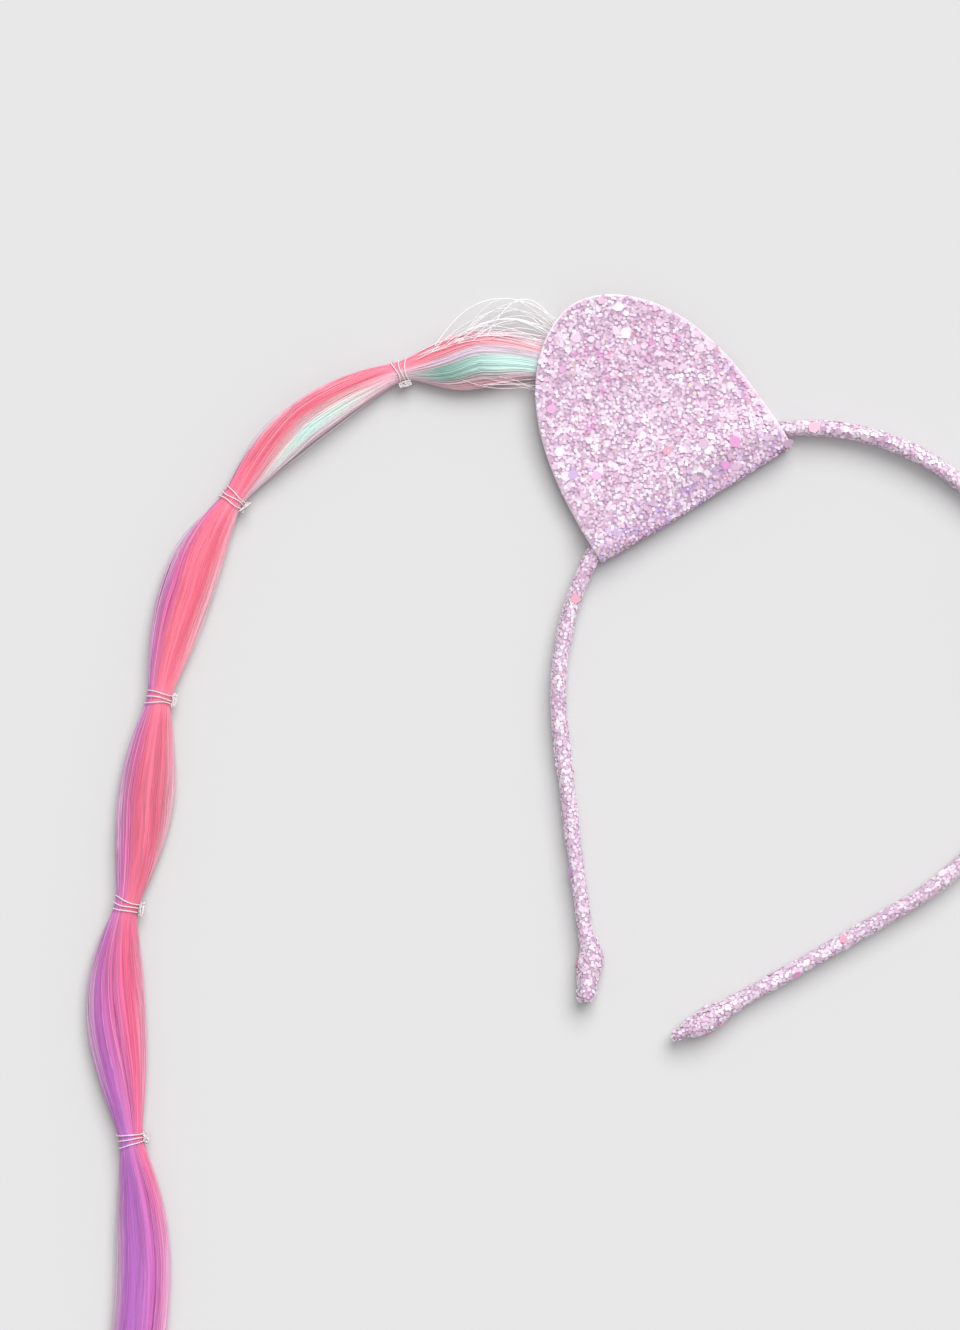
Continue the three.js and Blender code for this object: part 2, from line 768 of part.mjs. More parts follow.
addPiece('band', makeBand(), materials.glitter);
addPiece('end_cap_left', makeCap(-1, leftCapLength, leftCapWidth, leftCapOutline), materials.glitter);
addPiece('end_cap_right', makeCap(1, rightCapLength, rightCapWidth, rightCapOutline), materials.glitter);
const ear = makeLeftEar();
addPiece('left_ear', ear, materials.glitter);
addPiece('right_ear', mirrored(ear), materials.glitter);
addPiece('hair_clasp', makeClasp(), materials.clasp);
lockOrder.forEach((name, lock) => {
  addPiece(`${name}_lock`, makeLock(lock), materials[name]);
});
hairSections.filter((row) => row.tied).forEach((row, index) => {
  addPiece(`elastic_${index + 1}`, makeElastic(row.at * hairLength), materials.elastic);
});

// The origin is in the middle of the object's footprint on the table
const bounds = new THREE.Box3().setFromObject(group);
group.position.set(
  -(bounds.min.x + bounds.max.x) / 2,
  -(bounds.min.y + bounds.max.y) / 2,
  -bounds.min.z,
);
group.updateMatrixWorld(true);

export default group;
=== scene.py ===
# Looks of a child's glitter headband with two folded fabric ears and a long lock of false hair.
# Lengths are in millimetres until a mesh is made, and angles in degrees. The headband lies flat on
# the floor with +Z up, and +Y runs from its open ends to its crown.

import itertools
import math

import bpy
import numpy as np
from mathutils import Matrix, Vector


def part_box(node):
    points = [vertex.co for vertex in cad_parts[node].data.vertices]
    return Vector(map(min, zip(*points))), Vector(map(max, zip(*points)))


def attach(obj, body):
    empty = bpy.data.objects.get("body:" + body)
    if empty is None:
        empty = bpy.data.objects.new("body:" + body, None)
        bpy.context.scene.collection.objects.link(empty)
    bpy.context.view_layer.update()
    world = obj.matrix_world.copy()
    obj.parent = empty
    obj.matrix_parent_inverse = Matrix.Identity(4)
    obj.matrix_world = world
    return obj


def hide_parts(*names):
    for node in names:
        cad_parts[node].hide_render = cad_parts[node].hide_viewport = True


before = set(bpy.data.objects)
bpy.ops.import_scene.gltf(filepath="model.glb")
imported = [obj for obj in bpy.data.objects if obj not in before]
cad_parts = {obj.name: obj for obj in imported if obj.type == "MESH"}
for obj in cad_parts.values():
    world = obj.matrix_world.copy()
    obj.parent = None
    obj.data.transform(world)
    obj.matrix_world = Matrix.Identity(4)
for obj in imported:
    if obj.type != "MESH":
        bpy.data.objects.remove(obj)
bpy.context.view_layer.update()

MM = 0.001
FLAKE_SEED = 11
HAIR_SEED = 23
WRAP_SEED = 37
ELASTIC_SEED = 41

# Band, as the solids have it
BAND_LENGTH = 392.8
BAND_THICKNESS = 4.3
BAND_WIDTH = 6.0
CROWN_CHORD = 0.065
HALF = BAND_LENGTH / 2
BAND_ARCS = [(0.177, -34.8), (0.322, -61.5), (0.172, -26.6), (0.329, -1.8)]
FABRIC = 1.0
FIT_GAP = 0.3
SLEEVE_HALF_HEIGHT = BAND_WIDTH / 2 + FIT_GAP + FABRIC
MIDDLE = SLEEVE_HALF_HEIGHT

# Wrapped tips: side of the crown, length, width and the outline from mouth to end
CAP_HEIGHT = 8.6
CAPS = {
    "end_cap_left": {
        "side": -1,
        "length": 14.5,
        "width": 7.0,
        "at": [0, 0.1, 0.22, 0.36, 0.48, 0.58, 0.8, 0.97, 1],
        "width_share": [0.66, 0.68, 0.84, 0.98, 0.97, 0.84, 0.78, 0.74, 0.66],
        "height_share": [0.86, 0.9, 0.97, 1, 1, 0.98, 0.94, 0.9, 0.84],
        "bend": [-0.5, -0.5, -0.5, -0.3, 0.1, 0.8, 1.3, 1.8, 1.8],
    },
    "end_cap_right": {
        "side": 1,
        "length": 17.0,
        "width": 6.8,
        "at": [0, 0.12, 0.3, 0.5, 0.68, 0.76, 0.84, 0.96, 1],
        "width_share": [0.68, 0.7, 0.82, 0.88, 0.8, 0.64, 0.46, 0.4, 0.28],
        "height_share": [0.86, 0.9, 0.98, 1, 0.9, 0.78, 0.62, 0.52, 0.4],
        "bend": [0, 0, 0.2, 0.3, 0.2, 0, -0.1, 0.1, 0.1],
    },
}

# Ear, as the solids have it, with the inset of its cloth at the fold
EAR_WIDTH = 53.2
EAR_HEIGHT = 56.6
EAR_POSITION = 60.3
EAR_TILT = 1.5
EAR_FOLD_BOW = 0.2
FOLD_INSET = 0.8
EAR_TIP_LIFT = 3.6
EAR_SIDE_POWER = 1.8
EAR_TIP_POWER = 2.88
RIDGE_TOP = 1.2
RIDGE_TIP_FALL = 6.8
RIDGE_FOLD_FALL = 11.0
FOLD_POWER = 2.4

# Hair, as the solids have it but for its first two swells, which are wider and lie higher
HAIR_LENGTH = 348.0
HAIR_WIDTH = 13.8
HAIR_HEIGHT = 6.6
HAIR_ROOT_HEIGHT = 21.6
HAIR_ROOT_ASIDE = -0.3
CLASP_LENGTH = 5.6
CLASP_WALL = 0.8
CLASP_OVERLAP = 4.0
HAIR_ARCS = [
    (0.061, 48.2), (0.126, 29.2), (0.104, 27), (0.126, 29.3), (0.111, 9),
    (0.091, -7.6), (0.097, 19.7), (0.085, 3.1), (0.111, -16.2), (0.088, 4),
]
LOCKS = ["pink", "mint", "pale", "purple"]
# Sections of the bundle: place, width, height, height of its underside, and where each lock begins.
# An underside of None is a tie.
HAIR_SECTIONS = [
    (0, 0.8, 0.23, 0.21, (0, 75, 140, 210)),
    (0.046, 0.72, 0.45, 0.08, (0, 80, 145, 205)),
    (0.09, 0.58, 0.74, 0.14, (0, 80, 150, 205)),
    (0.135, 1, 0.8, 0.2, (0, 70, 124, 205)),
    (0.187, 0.35, 0.71, None, (-5, 98, 160, 215)),
    (0.262, 0.72, 0.86, 0.32, (-10, 94, 140, 220)),
    (0.332, 0.4, 0.76, None, (20, 140, 185, 275)),
    (0.402, 0.86, 0.96, 0, (62, 150, 200, 325)),
    (0.479, 0.43, 0.83, None, (55, 142, 196, 328)),
    (0.548, 0.92, 1, 0, (50, 135, 200, 330)),
    (0.623, 0.42, 0.82, None, (70, 165, 220, 322)),
    (0.698, 1, 1, 0, (90, 190, 250, 318)),
    (0.784, 0.42, 0.83, None, (112, 196, 262, 335)),
    (0.87, 0.9, 0.92, 0, (125, 200, 270, 340)),
    (0.94, 0.92, 0.86, 0, (125, 200, 270, 340)),
    (1, 0.5, 0.5, 0, (125, 200, 270, 340)),
]
ELASTIC_THICKNESS = 0.9
ELASTIC_SPREAD = 3.2
ELASTIC_TURNS = 3
KNOT_RADIUS = 1.25
KNOT_ANGLE = 165

# Camera: straight down on the point in the middle of the photograph, given from the band's crown
VIEW_CENTRE = (-70.3, -91.4)
VIEW_HEIGHT = 316.7
VIEW_TURN = 26.5
CAMERA_DISTANCE = 1400.0
SENSOR = 36.0


band_low, band_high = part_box("band")
CROWN_X = (band_low.x + band_high.x) / 2 / MM
CROWN_Y = band_high.y / MM - BAND_THICKNESS / 2 + CROWN_CHORD


def camera():
    data = bpy.data.cameras.new("camera")
    data.sensor_fit = "VERTICAL"
    data.sensor_height = SENSOR
    data.sensor_width = SENSOR
    data.lens = SENSOR * CAMERA_DISTANCE / VIEW_HEIGHT
    data.clip_end = 100
    eye = bpy.data.objects.new("camera", data)
    place = (CROWN_X + VIEW_CENTRE[0], CROWN_Y + VIEW_CENTRE[1], CAMERA_DISTANCE + MIDDLE)
    eye.location = Vector(place) * MM
    eye.rotation_euler = (0, 0, math.radians(VIEW_TURN))
    bpy.context.scene.collection.objects.link(eye)
    bpy.context.scene.camera = eye


camera()


def linear(colour):
    """Linear colour of a screen colour given in 0 to 255"""
    shares = np.asarray(colour, float) / 255
    return np.where(shares <= 0.04045, shares / 12.92, ((shares + 0.055) / 1.055) ** 2.4)


def rgba(colour):
    return (*linear(colour), 1.0)


def smooth(share):
    share = np.clip(share, 0, 1)
    return share * share * (3 - 2 * share)


def lattice(seed, rows, columns):
    """Smooth noise from 0 to 1 over a plane, repeating after the given numbers of cells"""
    table = np.random.default_rng(seed).random((rows, columns))

    def noise(u, v):
        u, v = np.broadcast_arrays(np.asarray(u, float), np.asarray(v, float))
        row, column = np.floor(u).astype(int), np.floor(v).astype(int)
        a, b = smooth(u - row), smooth(v - column)
        near = table[row % rows, column % columns] * (1 - b) + table[row % rows, (column + 1) % columns] * b
        far = (table[(row + 1) % rows, column % columns] * (1 - b)
               + table[(row + 1) % rows, (column + 1) % columns] * b)
        return near * (1 - a) + far * a

    return noise


# Chains of arcs
TRACK_STEP = 0.25


def arc_track(x, y, heading, arcs, length, spare):
    """Even steps along a chain of arcs that goes straight on for the spare length"""
    marks = np.concatenate([[0], np.cumsum([share * length for share, _ in arcs]), [length + spare]])
    turned = heading + np.cumsum([turn for _, turn in arcs])
    headings_at = np.concatenate([[heading], turned, [turned[-1]]])
    distances = np.arange(0, length + spare, TRACK_STEP)
    headings = np.radians(np.interp(distances, marks, headings_at))
    middle = (headings[1:] + headings[:-1]) / 2
    xs = x + np.concatenate([[0], np.cumsum(np.cos(middle)) * TRACK_STEP])
    ys = y + np.concatenate([[0], np.cumsum(np.sin(middle)) * TRACK_STEP])
    return distances, xs, ys, headings


BAND_TRACK = arc_track(0, 0, 0, BAND_ARCS, HALF, 30)


def band_station(distance):
    """Centre and outward direction in plan at distances from the crown, negative to the left ear"""
    distance = np.asarray(distance, float)
    side = np.where(distance < 0, -1.0, 1.0)
    at, xs, ys, headings = BAND_TRACK
    reach = np.abs(distance)
    heading = np.interp(reach, at, headings)
    centre = np.stack([CROWN_X + side * np.interp(reach, at, xs), CROWN_Y + np.interp(reach, at, ys)], -1)
    outward = np.stack([-side * np.sin(heading), np.cos(heading)], -1)
    return centre, outward


# The left ear's own frame: along runs from the fold to the tip, across to the crown's side
def ear_frame():
    centre, outward = band_station(-EAR_POSITION)
    turn = -math.radians(EAR_TILT)
    along = np.array([
        outward[0] * math.cos(turn) - outward[1] * math.sin(turn),
        outward[0] * math.sin(turn) + outward[1] * math.cos(turn),
    ])
    across = np.array([along[1], -along[0]])
    distances = -EAR_POSITION + np.linspace(-0.8 * EAR_WIDTH, 0.8 * EAR_WIDTH, 241)
    centres, outwards = band_station(distances)
    aside = (centres - centre) @ across
    ahead = (centres - centre) @ along
    room = (BAND_THICKNESS / 2 + FIT_GAP) / (outwards @ along) + FABRIC
    inside = np.abs(aside) <= EAR_WIDTH / 2
    depth = np.max((room - ahead + fold_along(aside))[inside])
    return centre - along * depth, along, across, aside, ahead + depth


def fold_along(across):
    return -EAR_FOLD_BOW * np.clip(1 - (2 * across / EAR_WIDTH) ** 2, 0, None)


def cloth_fold(across):
    """Where the cloth itself folds, inside the glitter that covers it"""
    return fold_along(across) + FOLD_INSET


EAR_ORIGIN, EAR_ALONG, EAR_ACROSS, TRACK_ACROSS, TRACK_ALONG = ear_frame()
FOLD_RADIUS = BAND_THICKNESS / 2 + FIT_GAP + FABRIC


def band_along(across):
    return np.interp(across, TRACK_ACROSS, TRACK_ALONG)


def band_cosine(across):
    return 1 / np.hypot(1, band_along(across + 0.5) - band_along(across - 0.5))


def ear_half_width(along):
    share = np.clip(along / EAR_HEIGHT, 0, 1)
    return EAR_WIDTH / 2 * (1 - share ** EAR_TIP_POWER) ** (1 / EAR_SIDE_POWER)


def hollow_half(across, along):
    distance = (along - band_along(across)) * band_cosine(across)
    top = BAND_WIDTH / 2 + FIT_GAP
    tip_side = top * (1 - smooth((distance - RIDGE_TOP) / RIDGE_TIP_FALL))
    fold_side = top * (1 - np.clip((-distance - RIDGE_TOP) / RIDGE_FOLD_FALL, 0, 1))
    return np.where(distance >= 0, tip_side, fold_side)


def rounded_edge(share):
    return (1 - (1 - np.clip(share, 0, 1)) ** FOLD_POWER) ** (1 / FOLD_POWER)


def outer_half(across, along):
    above = along - cloth_fold(across)
    rounded = SLEEVE_HALF_HEIGHT * rounded_edge(above / FOLD_RADIUS)
    return np.minimum(hollow_half(across, along) + FABRIC, rounded)


def inner_half(across, along, thickness):
    above = along - cloth_fold(across) - thickness
    rounded = (SLEEVE_HALF_HEIGHT - thickness) * rounded_edge(above / (FOLD_RADIUS - thickness))
    return np.minimum(hollow_half(across, along) + FABRIC - thickness, rounded)


def ear_middle(across, along):
    start = band_along(across) + RIDGE_TOP + RIDGE_TIP_FALL
    share = np.clip((along - start) / (EAR_HEIGHT - start), 0, None)
    return MIDDLE + EAR_TIP_LIFT * share ** 1.5


def ear_points(across, along, z):
    plan = EAR_ORIGIN + across[..., None] * EAR_ACROSS + along[..., None] * EAR_ALONG
    return np.concatenate([plan, z[..., None]], -1)


def mirrored(points):
    """The same points on the other side of the headband's middle plane"""
    other = points.copy()
    other[..., 0] = 2 * CROWN_X - other[..., 0]
    return other


# Meshes
FLOOR_CLEAR = 0.02


def grid_faces(rows, columns, wrap=False, first=0):
    """Quads of a grid of points, closed on itself across the columns where wrap is set"""
    row = np.arange(rows - 1)[:, None] * columns
    column = np.arange(columns if wrap else columns - 1)[None, :]
    after = (column + 1) % columns
    quads = np.stack([row + column, row + after, row + columns + after, row + columns + column], -1)
    return quads.reshape(-1, 4) + first


def enclosed(points, face_sets):
    volume = 0.0
    for faces in face_sets:
        for turn in range(1, faces.shape[1] - 1):
            a, b, c = points[faces[:, 0]], points[faces[:, turn]], points[faces[:, turn + 1]]
            volume += np.einsum("ij,ij->i", a, np.cross(b, c)).sum()
    return volume


def build(name, points, face_sets, material, nodes=(), smoothed=True, values=None, colours=None):
    """Mesh piece that rides on the part. values and colours are given for each point, by name."""
    points = np.array(points, float).reshape(-1, 3)
    points[:, 2] = np.maximum(points[:, 2], FLOOR_CLEAR)
    face_sets = [faces for faces in face_sets if len(faces)]
    if enclosed(points, face_sets) < 0:
        face_sets = [faces[:, ::-1] for faces in face_sets]
    corners = np.concatenate([faces.ravel() for faces in face_sets]).astype(np.int32)
    totals = np.concatenate([np.full(len(faces), faces.shape[1]) for faces in face_sets])
    starts = np.concatenate([[0], np.cumsum(totals)[:-1]]).astype(np.int32)
    mesh = bpy.data.meshes.new(name)
    mesh.vertices.add(len(points))
    mesh.vertices.foreach_set("co", (points * MM).astype(np.float32).ravel())
    mesh.loops.add(len(corners))
    mesh.loops.foreach_set("vertex_index", corners)
    mesh.polygons.add(len(totals))
    mesh.polygons.foreach_set("loop_start", starts)
    mesh.polygons.foreach_set("use_smooth", np.full(len(totals), smoothed))
    mesh.update(calc_edges=True)
    for key, data in (values or {}).items():
        layer = mesh.attributes.new(key, "FLOAT", "POINT")
        layer.data.foreach_set("value", np.asarray(data, np.float32).ravel())
    for key, data in (colours or {}).items():
        layer = mesh.attributes.new(key, "FLOAT_COLOR", "POINT")
        full = np.concatenate([data, np.ones((len(data), 1))], -1)
        layer.data.foreach_set("color", full.astype(np.float32).ravel())
    mesh.materials.append(material)
    piece = bpy.data.objects.new(name, mesh)
    bpy.context.scene.collection.objects.link(piece)
    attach(piece, "root")
    if nodes:
        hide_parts(*nodes)
    return piece


# Materials
def new_material(name):
    material = bpy.data.materials.new(name)
    material.use_nodes = True
    tree = material.node_tree
    return material, tree, tree.nodes["Principled BSDF"]


def attribute(tree, name, output="Fac"):
    node = tree.nodes.new("ShaderNodeAttribute")
    node.attribute_name = name
    return node.outputs[output]


def math_node(tree, operation, first, second):
    node = tree.nodes.new("ShaderNodeMath")
    node.operation = operation
    for socket, value in zip(node.inputs, (first, second)):
        if isinstance(value, (int, float)):
            socket.default_value = value
        else:
            tree.links.new(value, socket)
    return node.outputs[0]


def noise_node(tree, scale, detail, vector=None):
    node = tree.nodes.new("ShaderNodeTexNoise")
    node.inputs["Scale"].default_value = scale
    node.inputs["Detail"].default_value = detail
    if vector is None:
        coordinates = tree.nodes.new("ShaderNodeTexCoord")
        vector = coordinates.outputs["Object"]
    tree.links.new(vector, node.inputs["Vector"])
    return node.outputs["Fac"]


def ramp(tree, factor, stops, constant=False):
    node = tree.nodes.new("ShaderNodeValToRGB")
    node.color_ramp.interpolation = "CONSTANT" if constant else "LINEAR"
    elements = node.color_ramp.elements
    while len(elements) < len(stops):
        elements.new(0.5)
    for element, (position, colour) in zip(elements, stops):
        element.position = position
        element.color = colour
    tree.links.new(factor, node.inputs["Fac"])
    return node.outputs["Color"]


def mixed(tree, kind, factor, first, second):
    node = tree.nodes.new("ShaderNodeMix")
    node.data_type = "RGBA"
    node.blend_type = kind
    for socket, value in ((node.inputs[0], factor), (node.inputs[6], first), (node.inputs[7], second)):
        if isinstance(value, (int, float, tuple)):
            socket.default_value = value
        else:
            tree.links.new(value, socket)
    return node.outputs[2]


def bumped(tree, shader, height, strength, distance):
    node = tree.nodes.new("ShaderNodeBump")
    node.inputs["Strength"].default_value = strength
    node.inputs["Distance"].default_value = distance
    tree.links.new(height, node.inputs["Height"])
    tree.links.new(node.outputs["Normal"], shader.inputs["Normal"])


def grey(level):
    return (level, level, level, 1.0)


# Flake colours from the rarest to the commonest, each from the place where it begins
FLAKE_TINTS = [
    (0.00, (228, 158, 208)),
    (0.01, (204, 176, 224)),
    (0.024, (232, 168, 188)),
    (0.044, (234, 208, 198)),
    (0.054, (203, 170, 197)),
    (0.16, (219, 185, 211)),
    (0.42, (228, 198, 221)),
    (0.7, (236, 212, 231)),
    (0.9, (242, 232, 242)),
]


def flake_material():
    """Thin plates of film, one colour for each plate, with a pearly gloss"""
    material, tree, shader = new_material("glitter_flakes")
    stops = [(place, rgba(colour)) for place, colour in FLAKE_TINTS]
    tint = ramp(tree, attribute(tree, "tint"), stops, constant=True)
    shade = ramp(tree, attribute(tree, "shade"), [(0, grey(0.9)), (1, grey(1))])
    tree.links.new(mixed(tree, "MULTIPLY", 1.0, tint, shade), shader.inputs["Base Color"])
    gloss = ramp(tree, attribute(tree, "shade"), [(0, grey(0.42)), (1, grey(0.22))])
    tree.links.new(gloss, shader.inputs["Roughness"])
    shader.inputs["Specular IOR Level"].default_value = 0.6
    shader.inputs["Coat Weight"].default_value = 0.25
    shader.inputs["Coat Roughness"].default_value = 0.15
    return material


def backing_painted_shade_material():
    """Glitter cloth between the plates: grainy, its own mauve darkened as painted shade for the gaps between
    the plates, pale where it is cut
    """
    material, tree, shader = new_material("glitter_backing_painted_shade")
    grain = noise_node(tree, 2600, 2)
    # Painted shade: the cloth's mauve is kept dark so that the gaps between the plates read as shadow
    cloth = ramp(tree, grain, [(0.3, rgba((172, 142, 167))), (0.7, rgba((210, 181, 207)))])
    cut = ramp(tree, grain, [(0.3, rgba((232, 208, 226))), (0.7, rgba((252, 240, 248)))])
    tree.links.new(mixed(tree, "MIX", attribute(tree, "edge"), cloth, cut), shader.inputs["Base Color"])
    shader.inputs["Roughness"].default_value = 0.8
    bumped(tree, shader, grain, 0.5, 0.0001)
    return material


flakes_look = flake_material()
backing_painted_shade_look = backing_painted_shade_material()


# Glitter: many small plates, each a hexagon whose underside runs to a point in the cloth
AROUND = list(itertools.product((-1, 0, 1), repeat=3))
FLAKE_SPACING = 0.61
FLAKE_TRIES = 3.2


def scattered(rng, corners, normals, fields, spacing=FLAKE_SPACING, tries=FLAKE_TRIES):
    """Random places on a grid surface at least the spacing apart, with their normals and fields"""
    a, b, c, d = (corners[:-1, :-1], corners[:-1, 1:], corners[1:, 1:], corners[1:, :-1])
    halves = [np.linalg.norm(np.cross(first - a, second - a), axis=-1) for first, second in ((b, c), (c, d))]
    area = (halves[0] + halves[1]) / 2
    rows, columns = area.shape
    chance = area.ravel() / area.sum()
    count = int(area.sum() / spacing ** 2 * tries)
    picked = rng.choice(rows * columns, count, p=chance)
    row, column = picked // columns, picked % columns
    u, v = rng.random(count), rng.random(count)

    def blend(grid):
        near = grid[row, column] * (1 - v)[:, None] + grid[row, column + 1] * v[:, None]
        far = grid[row + 1, column] * (1 - v)[:, None] + grid[row + 1, column + 1] * v[:, None]
        return near * (1 - u)[:, None] + far * u[:, None]

    points = blend(corners)
    kept = []
    cells = {}
    for index, (x, y, z) in enumerate(points.tolist()):
        i, j, k = (int(value // spacing) for value in (x, y, z))
        taken = (spot for a, b, c in AROUND for spot in cells.get((i + a, j + b, k + c), ()))
        if all((p - x) ** 2 + (q - y) ** 2 + (r - z) ** 2 >= spacing ** 2 for p, q, r in taken):
            cells.setdefault((i, j, k), []).append((x, y, z))
            kept.append(index)
    facing = blend(normals)
    facing /= np.linalg.norm(facing, axis=1)[:, None]
    others = {name: blend(field[..., None])[:, 0][kept] for name, field in fields.items()}
    return points[kept], facing[kept], others


def grid_normals(corners):
    """Unit normals of a grid of points"""
    along = np.gradient(corners, axis=0)
    across = np.gradient(corners, axis=1)
    normals = np.cross(along, across)
    return normals / np.maximum(np.linalg.norm(normals, axis=-1), 1e-12)[..., None]


TINT_NOISE = lattice(FLAKE_SEED, 64, 64)
FLAKE_SIDES = 6
FLAKE_DEPTH = 0.75
FLAKE_RADII = (0.44, 0.6)
SMALL_BELOW = 0.14
SMALL_RADII = (0.28, 0.4)
BROAD_ABOVE = 0.965
BROAD_RADII = (0.75, 0.95)
BROAD_LIFT = 0.42
LARGE_ABOVE = 0.9955
LARGE_RADII = (1.05, 1.45)
LARGE_LIFT = 0.48
LARGE_TINTS = [0.005, 0.02, 0.045, 0.065, 0.3, 0.6, 0.8, 0.95, 0.95]
LIFTS = (0.1, 0.42)
TILT_SPREAD = 15
TILT_LIMIT = 36
FOLD_SHADE_TINT = 0.02


def flakes(name, rng, points, normals, fold_shade=None, rough=1.0, pale=0.0):
    """One mesh of glitter plates at the places given. fold_shade is how far each place leans to the purple
    tint, as painted shade near the ear's fold, rough how far the plates stand off and pale how much lighter
    they are, which along the band's crest in the ear is a painted highlight."""
    count = len(points)
    kind = rng.random(count)
    radius = rng.uniform(*FLAKE_RADII, count)
    radius = np.where(kind < SMALL_BELOW, rng.uniform(*SMALL_RADII, count), radius)
    radius = np.where(kind > BROAD_ABOVE, rng.uniform(*BROAD_RADII, count), radius)
    large = kind > LARGE_ABOVE
    radius = np.where(large, rng.uniform(*LARGE_RADII, count), radius)
    broad = radius > 0.7
    tilt = np.radians(np.clip(np.abs(rng.normal(0, TILT_SPREAD, count)), 0, TILT_LIMIT)) * rough
    tilt = np.where(broad, tilt * 0.3, tilt)
    lift = rng.uniform(*LIFTS, count)
    lift = np.where(large, LARGE_LIFT, np.where(broad, BROAD_LIFT, lift)) * rough

    seed = rng.normal(size=(count, 3))
    side = np.cross(normals, seed)
    side /= np.linalg.norm(side, axis=1)[:, None]
    leaning = normals * np.cos(tilt)[:, None] + side * np.sin(tilt)[:, None]
    first = np.cross(leaning, rng.normal(size=(count, 3)))
    first /= np.linalg.norm(first, axis=1)[:, None]
    second = np.cross(leaning, first)
    centre = points + normals * lift[:, None]
    turn = np.arange(FLAKE_SIDES) * 2 * np.pi / FLAKE_SIDES
    ragged = rng.uniform(0.86, 1.1, (count, FLAKE_SIDES))
    ring = first[:, None, :] * np.cos(turn)[:, None] + second[:, None, :] * np.sin(turn)[:, None]
    ring = centre[:, None, :] + ring * (radius[:, None] * ragged)[..., None]
    apex = centre - normals * FLAKE_DEPTH
    mesh_points = np.concatenate([ring, apex[:, None, :]], 1)

    start = np.arange(count)[:, None] * (FLAKE_SIDES + 1)
    tops = start + np.arange(FLAKE_SIDES)
    after = (np.arange(FLAKE_SIDES) + 1) % FLAKE_SIDES
    sides = np.stack([start + after, start + np.arange(FLAKE_SIDES), start + FLAKE_SIDES + 0 * after], -1)
    patch = TINT_NOISE(points[:, 0] / 5 + 7, points[:, 1] / 5 + 3) - 0.5
    tint = np.clip(rng.random(count) + 0.34 * patch + pale, 0.001, 0.999)
    tint = np.where(large, rng.choice(LARGE_TINTS, count), tint)
    # Painted shade near the ear's fold: some plates there take the purple tint
    if fold_shade is not None:
        tint = np.where(rng.random(count) < 0.3 * fold_shade, FOLD_SHADE_TINT, tint)
    shade = rng.random(count)
    each = FLAKE_SIDES + 1
    return build(
        name, mesh_points, [tops, sides.reshape(-1, 3)], flakes_look, smoothed=False,
        values={"tint": np.repeat(tint, each), "shade": np.repeat(shade, each)},
    )


# Ears
EAR_COLUMNS = 44
FOLD_STEPS = 8
LEAF_STEPS = 70
WIDTH_ROUNDS = 7
SHEET_THICKNESS = 0.9
SEAM_GAP = 0.1
CUT_MARGIN = 0.45
# Width and strength of a painted highlight: flakes along the band's crest inside the ear are made paler
RIDGE_HIGHLIGHT_WIDTH = 8.0
RIDGE_PAINTED_HIGHLIGHT = 0.2


def ear_heights(across):
    """Heights of one column's points from the fold to the tip"""
    angle = np.linspace(0, np.pi / 2, FOLD_STEPS + 1)
    rounded = FOLD_RADIUS * (1 - np.cos(angle) ** (2 / FOLD_POWER))
    share = 1 - (1 - np.linspace(0, 1, LEAF_STEPS + 1)[1:]) ** 1.6
    share = np.minimum(share, 0.9997)
    fold = cloth_fold(across)
    near = fold[None, :] + rounded[:, None]
    far = near[-1][None, :] + (EAR_HEIGHT - near[-1][None, :]) * share[:, None]
    return np.concatenate([near, far], 0)


def outline_distance(across, along):
    """Distance inwards from the ear's curved outline"""
    a = np.abs(across) / (EAR_WIDTH / 2)
    h = np.clip(along, 0, None) / EAR_HEIGHT
    level = 1 - a ** EAR_SIDE_POWER - h ** EAR_TIP_POWER
    slope = np.hypot(
        EAR_SIDE_POWER * a ** (EAR_SIDE_POWER - 1) / (EAR_WIDTH / 2),
        EAR_TIP_POWER * h ** (EAR_TIP_POWER - 1) / EAR_HEIGHT,
    )
    return level / np.maximum(slope, 1e-6)


def ear_surfaces():
    """Grids of the ear's outside and inside, from the tip over the top and the fold to the tip below"""
    shares = np.linspace(-1, 1, EAR_COLUMNS + 1)
    along = ear_heights(shares * EAR_WIDTH / 2)
    across = shares * ear_half_width(np.clip(along, 0, None))
    for _ in range(WIDTH_ROUNDS):
        along = np.stack([ear_heights(across[row])[row] for row in range(len(across))])
        across = shares * ear_half_width(np.clip(along, 0, None))
    middle = ear_middle(across, along)
    half = outer_half(across, along)
    inner_along = np.maximum(along, cloth_fold(across) + SHEET_THICKNESS)
    inner = np.maximum(inner_half(across, along, SHEET_THICKNESS), 0)
    opened = SEAM_GAP * np.clip(1 - outline_distance(across, along) / 2.5, 0.15, 1)
    leaf = np.clip((along - cloth_fold(across)) / FOLD_RADIUS, 0, 1)
    inner = np.maximum(inner, opened * leaf)
    edge = (outline_distance(across, along) < CUT_MARGIN) & (along > 0)
    return across, along, middle, half, inner_along, inner, edge


def folded(top, underside):
    """One grid from the tip of the top, down round the fold and back to the tip of the underside"""
    return np.concatenate([top[::-1], underside[1:]], 0)


